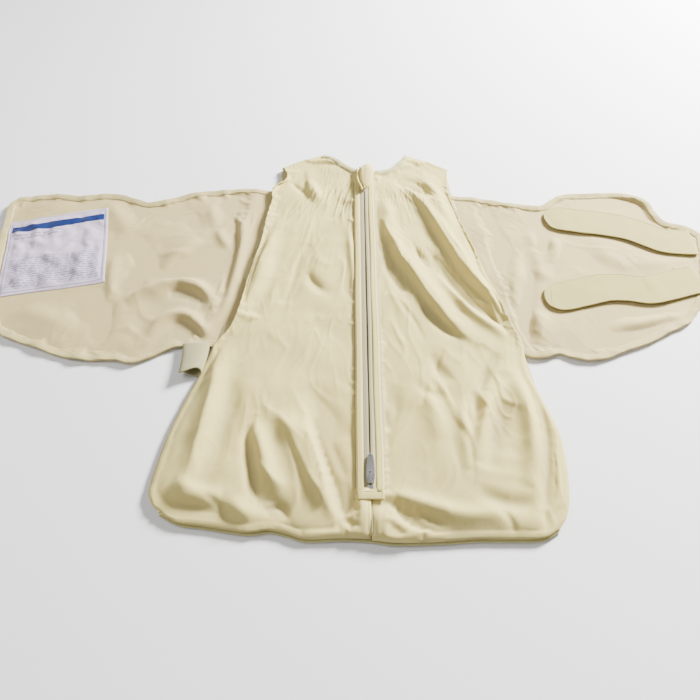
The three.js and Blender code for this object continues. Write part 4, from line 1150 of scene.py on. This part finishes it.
wing_levels = {}
for name, cut in WINGS.items():
    side = -1 if name == "left" else 1
    rows_count, columns_count = 90, 110
    low, top = path(cut["low"], columns_count), path(cut["top"], columns_count)
    tip, root = path(cut["tip"], rows_count), path(cut["root"], rows_count)
    grid = patch(low, top, tip, root) if side < 0 else patch(low, top, root, tip)
    xy = grid.reshape(-1, 2)
    wing_points = np.column_stack([xy, wing_level(xy, name)])
    wing_faces = grid_faces(rows_count, columns_count)
    rim = np.zeros((rows_count, columns_count), bool)
    rim[0] = rim[-1] = rim[:, 0] = rim[:, -1] = True
    rim[:, :12] |= side > 0
    rim[:, -12:] |= side < 0
    wing_points = relax(wing_points, wing_faces, rim.ravel(), -0.02, 2.5, 12, gravity=0.05)
    wing_grid = refine(wing_points.reshape(rows_count, columns_count, 3))
    rows_count, columns_count = wing_grid.shape[:2]
    wing_points = wing_grid.reshape(-1, 3)
    wing_faces = grid_faces(rows_count, columns_count)
    rim_gap = edge_gap(wing_points[:, :2], name, ("low", "top", "tip", "root"))
    loose = smooth(rim_gap, 6, 22) * under_straps(wing_points[:, :2], name)
    wing_points[:, 2] += loose * (1.5 * crumple(wing_points[:, :2], (side * 120, 480), 30, 60, 73.0)
                                  + 0.7 * crumple(wing_points[:, :2], (side * 60, 300), 17, 40, 91.0))
    wing_points[:, 2] = np.clip(wing_points[:, 2], 1.8, 13.0)
    wing_tree = BVHTree.FromPolygons([Vector(p) for p in wing_points], wing_faces)
    wing_levels[name] = wing_tree
    sheet = mesh_piece(f"{name}_wing_cloth", wing_points, wing_faces, wing_cloth)
    # painted shade on the wing: darker in its hollows, and a painted shadow along the front's armhole edge
    painted_armhole_shadow = np.exp(-((distance_to(wing_points[:, :2], arm_line[side > 0])[0] / 6) ** 2))
    painted_armhole_shadow = painted_armhole_shadow.reshape(rows_count, columns_count)
    paint_shade(sheet, np.clip(hollows(wing_grid[..., 2], 9, 4.0) + 1.2 * painted_armhole_shadow, 0, 1.6))
    thicken(sheet, CLOTH)
    on_wing(sheet)
    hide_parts(f"{name}_wing")

    # the turned hem, gathered a little by its stitches
    along = -1 if side < 0 else 1
    low_edge, tip_edge, top_edge = (path(cut[k], step=5) for k in ("low", "tip", "top"))
    around = np.vstack([low_edge[::along][:-1], tip_edge[:-1], top_edge[::-along]])
    around = path(around, step=3.2)[2:-2]

    def hem_level(at, tree=wing_tree):
        return heights_on(tree, at, near=4.0)

    pucker = 1 + 0.05 * np.sin(np.arange(len(around)) * 1.9) + 0.04 * np.sin(np.arange(len(around)) * 0.83)
    section = [(side * (a - 0.6), u - 1.75) for a, u in rounded(9.2, 2.7, 0, steps=4)]
    hem_strip = ribbon(f"{name}_wing_hem", around, section, hem_cloth, level=hem_level, share=pucker)
    on_wing(hem_strip)
    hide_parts(f"{name}_wing_binding")
    wide, area = (0.37, 0.089) if side < 0 else (0.33, 0.074)

    slope = np.gradient(around, axis=0)
    slope /= np.linalg.norm(slope, axis=1, keepdims=True)
    inner = around + np.column_stack([-slope[:, 1], slope[:, 0]]) * side * 7.0
    line = np.column_stack([inner, hem_level(inner) + 0.95])
    sewn = stitches(f"{name}_wing_stitches", [line], thread)
    on_wing(sewn)


def over_wing(name, at, lift):
    return heights_on(wing_levels[name], at, lift, beside=3.5)


# ---- Instruction label -----------------------------------------------------------------
# A white satin label with a navy band and printed rows, sewn flat near the left wing's tip
# along all four edges. The printing is plain bars and simple marks.
LABEL_WIDE, LABEL_TALL = 130, 137
LABEL_MIDDLE = (-405, 155)
LABEL_TURN = math.radians(12)
label_finish = bpy.data.materials.new("printed satin")
label_finish.use_nodes = True
tree = label_finish.node_tree
surface = tree.nodes["Principled BSDF"]
uv = node(tree, "ShaderNodeUVMap", {"uv_map": "label"}).outputs[0]
axes = node(tree, "ShaderNodeSeparateXYZ", Vector=uv)
across, up = axes.outputs[0], axes.outputs[1]


def between(tree, value, low, high):
    above = maths(tree, "GREATER_THAN", value, low)
    return maths(tree, "MULTIPLY", above, maths(tree, "LESS_THAN", value, high))


def brick_words(tree, vector, wide, tall, gap):
    uneven = {"offset": 0.37, "squash": 0.7, "squash_frequency": 3}
    words = node(tree, "ShaderNodeTexBrick", uneven, Vector=vector, Scale=1.0)
    words.inputs["Color1"].default_value = (0, 0, 0, 1)
    words.inputs["Color2"].default_value = (0, 0, 0, 1)
    words.inputs["Mortar"].default_value = (1, 1, 1, 1)
    words.inputs["Brick Width"].default_value = wide
    words.inputs["Row Height"].default_value = tall
    words.inputs["Mortar Size"].default_value = gap
    words.inputs["Mortar Smooth"].default_value = 0.1
    return maths(tree, "SUBTRACT", 1.0, words.outputs["Fac"])


wave = node(tree, "ShaderNodeTexNoise", Vector=uv, Scale=0.03, Detail=1.0).outputs[0]
band_middle = maths(tree, "MULTIPLY_ADD", wave, 3.0, 117.5)
off_band = maths(tree, "ABSOLUTE", maths(tree, "SUBTRACT", up, band_middle))
navy = maths(tree, "MULTIPLY", maths(tree, "LESS_THAN", off_band, 6.0), between(tree, across, 5, 125))


def both(a, b):
    return maths(tree, "MULTIPLY", a, b)


def off(value, middle):
    return maths(tree, "ABSOLUTE", maths(tree, "SUBTRACT", value, middle))


small_place = both(between(tree, up, 9, 62), between(tree, across, 9, 121))
small = both(brick_words(tree, uv, 11.0, 3.6, 0.8), small_place)
large_place = both(between(tree, up, 98, 109), between(tree, across, 9, 70))
large = both(brick_words(tree, uv, 17.0, 5.2, 1.5), large_place)
upright = both(maths(tree, "GREATER_THAN", off(across, 65.0), 60.4), between(tree, up, 4.5, 132))
upright = both(upright, maths(tree, "LESS_THAN", off(across, 65.0), 61.3))
level_rule = both(maths(tree, "LESS_THAN", off(up, 5.0), 0.45), between(tree, across, 4.5, 125.5))
words = both(maths(tree, "MAXIMUM", small, large), 0.72)
ink = maths(tree, "MAXIMUM", words, maths(tree, "MAXIMUM", upright, level_rule))
satin = node(tree, "ShaderNodeMix", {"data_type": "RGBA"})
tree.links.new(ink, satin.inputs["Factor"])
satin.inputs[6].default_value = (0.60, 0.51, 0.64, 1)
satin.inputs[7].default_value = (0.17, 0.17, 0.26, 1)
printed = node(tree, "ShaderNodeMix", {"data_type": "RGBA"})
tree.links.new(navy, printed.inputs["Factor"])
tree.links.new(satin.outputs[2], printed.inputs[6])
printed.inputs[7].default_value = (0.008, 0.025, 0.13, 1)
threads = node(tree, "ShaderNodeTexWave", {"bands_direction": "Y"}, Vector=uv, Scale=1.4).outputs[1]
tree.links.new(printed.outputs[2], surface.inputs["Base Color"])
tree.links.new(maths(tree, "MULTIPLY_ADD", threads, 0.12, 0.28), surface.inputs["Roughness"])
bumped(tree, threads, 0.00006, 0.5)
surface.inputs["Specular IOR Level"].default_value = 0.5

label_columns, label_rows = 90, 94
turned = np.array([[math.cos(LABEL_TURN), -math.sin(LABEL_TURN)], [math.sin(LABEL_TURN), math.cos(LABEL_TURN)]])
label_half = np.array([LABEL_WIDE / 2, LABEL_TALL / 2])
label_x = np.linspace(-label_half[0], label_half[0], label_columns)
label_y = np.linspace(-label_half[1], label_half[1], label_rows)
own = np.array([(a, b) for b in label_y for a in label_x])
high_bow = 1.6 * np.sin(own[:, 0] / 21) * smooth(own[:, 1], -10, 60)
low_bow = 1.4 * np.sin(own[:, 0] / 30) * smooth(-own[:, 1], -10, 60)
bow = np.column_stack([np.zeros(len(own)), high_bow - low_bow])
label_xy = (own + bow) @ turned.T + LABEL_MIDDLE
rim_gap = (label_half - np.abs(own)).min(axis=1)
puff = rumple(label_xy, 17, 3.2, 31.0) + rumple(label_xy @ turned, 9, 0.9, 33.0) + 1.2
label_z = over_wing("left", label_xy, 0.5) + np.clip(puff, 0, 5) * smooth(rim_gap, 1, 14)
label_points = np.column_stack([label_xy, label_z])
label = mesh_piece("instruction_label_satin", label_points, grid_faces(label_rows, label_columns), label_finish)
flat_map = label.data.uv_layers.new(name="label")
corner = np.empty(len(label.data.loops), dtype=np.int32)
label.data.loops.foreach_get("vertex_index", corner)
flat_map.data.foreach_set("uv", (own[corner] + label_half).ravel())
thicken(label, 0.35)
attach(label, "left_wing")
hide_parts("instruction_label")
rows = []
corners = np.array([(-1, -1), (1, -1), (1, 1), (-1, 1), (-1, -1)]) * (label_half - 2)
for low, high in zip(corners, corners[1:]):
    edge = np.linspace(low, high, 40) @ turned.T + LABEL_MIDDLE
    rows.append(np.column_stack([edge, over_wing("left", edge, 0.85)]))
white_thread = plain_finish("label thread", (0.72, 0.70, 0.66), 0.6, 3000.0)
label_sewn = stitches("label_stitches", rows, white_thread, every=3.4, length=2.4, radius=0.3)
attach(label_sewn, "left_wing")


# ---- Tabs and loop strips --------------------------------------------------------------
# Two brushed straps are sewn to the right wing's tip and lie folded back over the wing. Each
# has a strip of hooks under its round end, and closes on the loop strips on the outer side
# of the left wing.
STRAP = (0.52, 0.445, 0.13)


def brushed_finish(name, colour, pile=0.0007, depth=0.0004):
    finish = bpy.data.materials.new(name)
    finish.use_nodes = True
    tree = finish.node_tree
    surface = tree.nodes["Principled BSDF"]
    place = node(tree, "ShaderNodeTexCoord").outputs["Object"]
    nap = node(tree, "ShaderNodeTexVoronoi", Vector=place, Scale=1.0 / pile).outputs[0]
    haze = node(tree, "ShaderNodeTexNoise", Vector=place, Scale=60.0, Detail=6.0, Roughness=0.7).outputs[0]
    tone = node(tree, "ShaderNodeMix", {"data_type": "RGBA"})
    patchy = maths(tree, "MULTIPLY_ADD", haze, 0.9, -0.25)
    tree.links.new(maths(tree, "MULTIPLY_ADD", nap, 0.5, patchy), tone.inputs["Factor"])
    tone.inputs[6].default_value = (*colour, 1)
    tone.inputs[7].default_value = (*[c * 0.8 for c in colour], 1)
    tree.links.new(tone.outputs[2], surface.inputs["Base Color"])
    tree.links.new(maths(tree, "MULTIPLY_ADD", haze, 0.2, 0.78), surface.inputs["Roughness"])
    bumped(tree, nap, depth, 0.6)
    surface.inputs["Sheen Weight"].default_value = 0.15
    return finish


strap_finish = brushed_finish("brushed strap", STRAP)
hook_finish = brushed_finish("hook tape", (0.58, 0.54, 0.33), pile=0.0013, depth=0.0009)
TABS = {
    "upper": (WINGS["right"]["straps"][0], 22.5,
              [(0.0, 0.0), (0.18, 3.0), (0.26, 0.6), (0.45, 3.4), (0.7, 1.6), (0.88, 4.0), (1.0, 2.4)]),
    "lower": (WINGS["right"]["straps"][1], 21.5,
              [(0.0, 0.0), (0.2, 2.0), (0.32, 4.4), (0.45, 1.0), (0.62, 3.8), (0.78, 1.0), (0.9, 3.0), (1.0, 3.6)]),
}
for name, (middle, half_width, waves) in TABS.items():
    line = path(middle, 110)
    run = np.concatenate([[0], np.cumsum(np.linalg.norm(np.diff(line, axis=0), axis=1))])
    slope = np.gradient(line, axis=0)
    slope /= np.linalg.norm(slope, axis=1, keepdims=True)
    normal = np.column_stack([-slope[:, 1], slope[:, 0]])
    to_end = run[-1] - run
    round_end = np.sqrt(np.maximum(half_width**2 - (half_width - to_end) ** 2, 0.05))
    reach = np.where(to_end < half_width, round_end, half_width)
    wave = np.interp(run / run[-1], *np.array(path([(a, b) for a, b in waves], 60)).T)
    across = np.sin(np.linspace(-math.pi / 2, math.pi / 2, 25))
    xy = (line[:, None] + normal[:, None] * (across[None, :] * reach[:, None])[..., None]).reshape(-1, 2)
    base = over_wing("right", xy, 0).reshape(len(line), -1)
    bed = base.max(axis=1)
    bed = np.convolve(np.pad(bed, 8, mode="edge"), np.ones(17) / 17, mode="valid")
    level = np.maximum(bed[:, None] + 1.6 + 0.55 * wave[:, None], base + 1.6)
    level = np.maximum(level, 5.6)
    strap_points = np.column_stack([xy, level.ravel()])
    strap = mesh_piece(f"{name}_tab_strap", strap_points, grid_faces(len(line), 25), strap_finish)
    outwards(strap, face_up=True)
    thicken(strap, 0.9)
    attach(strap, f"{name}_tab")
    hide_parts(f"{name}_tab")
    grid = strap_points.reshape(len(line), 25, 3)
    inset = path(np.vstack([grid[2:-6, 2], grid[-6, 3:22], grid[2:-6, 22][::-1]]), step=3)
    inset = inset + (0, 0, 0.15)
    sewn = stitches(f"{name}_tab_stitches", [inset], thread)
    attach(sewn, f"{name}_tab")

    # hooks under the round end, and the doubled cloth that the strap is sewn to
    ends = (to_end > 5) & (to_end < 66)
    hook_grid = grid[ends]
    narrow = hook_grid[:, 2:23].copy()
    narrow[..., 2] -= 0.95
    hooks = mesh_piece(f"{name}_tab_hooks", narrow.reshape(-1, 3), grid_faces(len(narrow), 21), hook_finish)
    outwards(hooks, face_up=True)
    thicken(hooks, 0.5)
    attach(hooks, f"{name}_tab")
    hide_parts(f"{name}_tab_hook")

    root = line[0]
    patch_x, patch_y = root[0] - np.linspace(26, 1, 12), root[1] + np.linspace(-half_width + 1, half_width - 1, 18)
    patch_xy = np.array([(x, y) for y in patch_y for x in patch_x])
    patch_points = np.column_stack([patch_xy, over_wing("right", patch_xy, 0.65)])
    anchor = mesh_piece(f"{name}_tab_anchor_patch", patch_points, grid_faces(18, 12), strap_finish)
    thicken(anchor, 0.6)
    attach(anchor, "right_wing")
    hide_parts(f"{name}_tab_anchor")

loop_finish = brushed_finish("loop strip", (0.56, 0.515, 0.26), pile=0.0009)
for name in ("upper", "lower"):
    low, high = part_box(f"{name}_loop_strip")
    low, high = np.array(low) * 1000, np.array(high) * 1000
    columns_count, rows_count = 46, 16
    strip_x, strip_y = np.linspace(low[0], high[0], columns_count), np.linspace(low[1], high[1], rows_count)
    strip_xy = np.array([(x, y) for y in strip_y for x in strip_x])
    under = np.column_stack([strip_xy, over_wing("left", strip_xy, -CLOTH - 0.1)])
    strip = mesh_piece(f"{name}_loop_strip_pile", under, grid_faces(rows_count, columns_count), loop_finish)
    thicken(strip, 0.6)
    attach(strip, "left_wing")
    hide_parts(f"{name}_loop_strip")


# ---- Finish ---------------------------------------------------------------------------
bpy.context.view_layer.update()
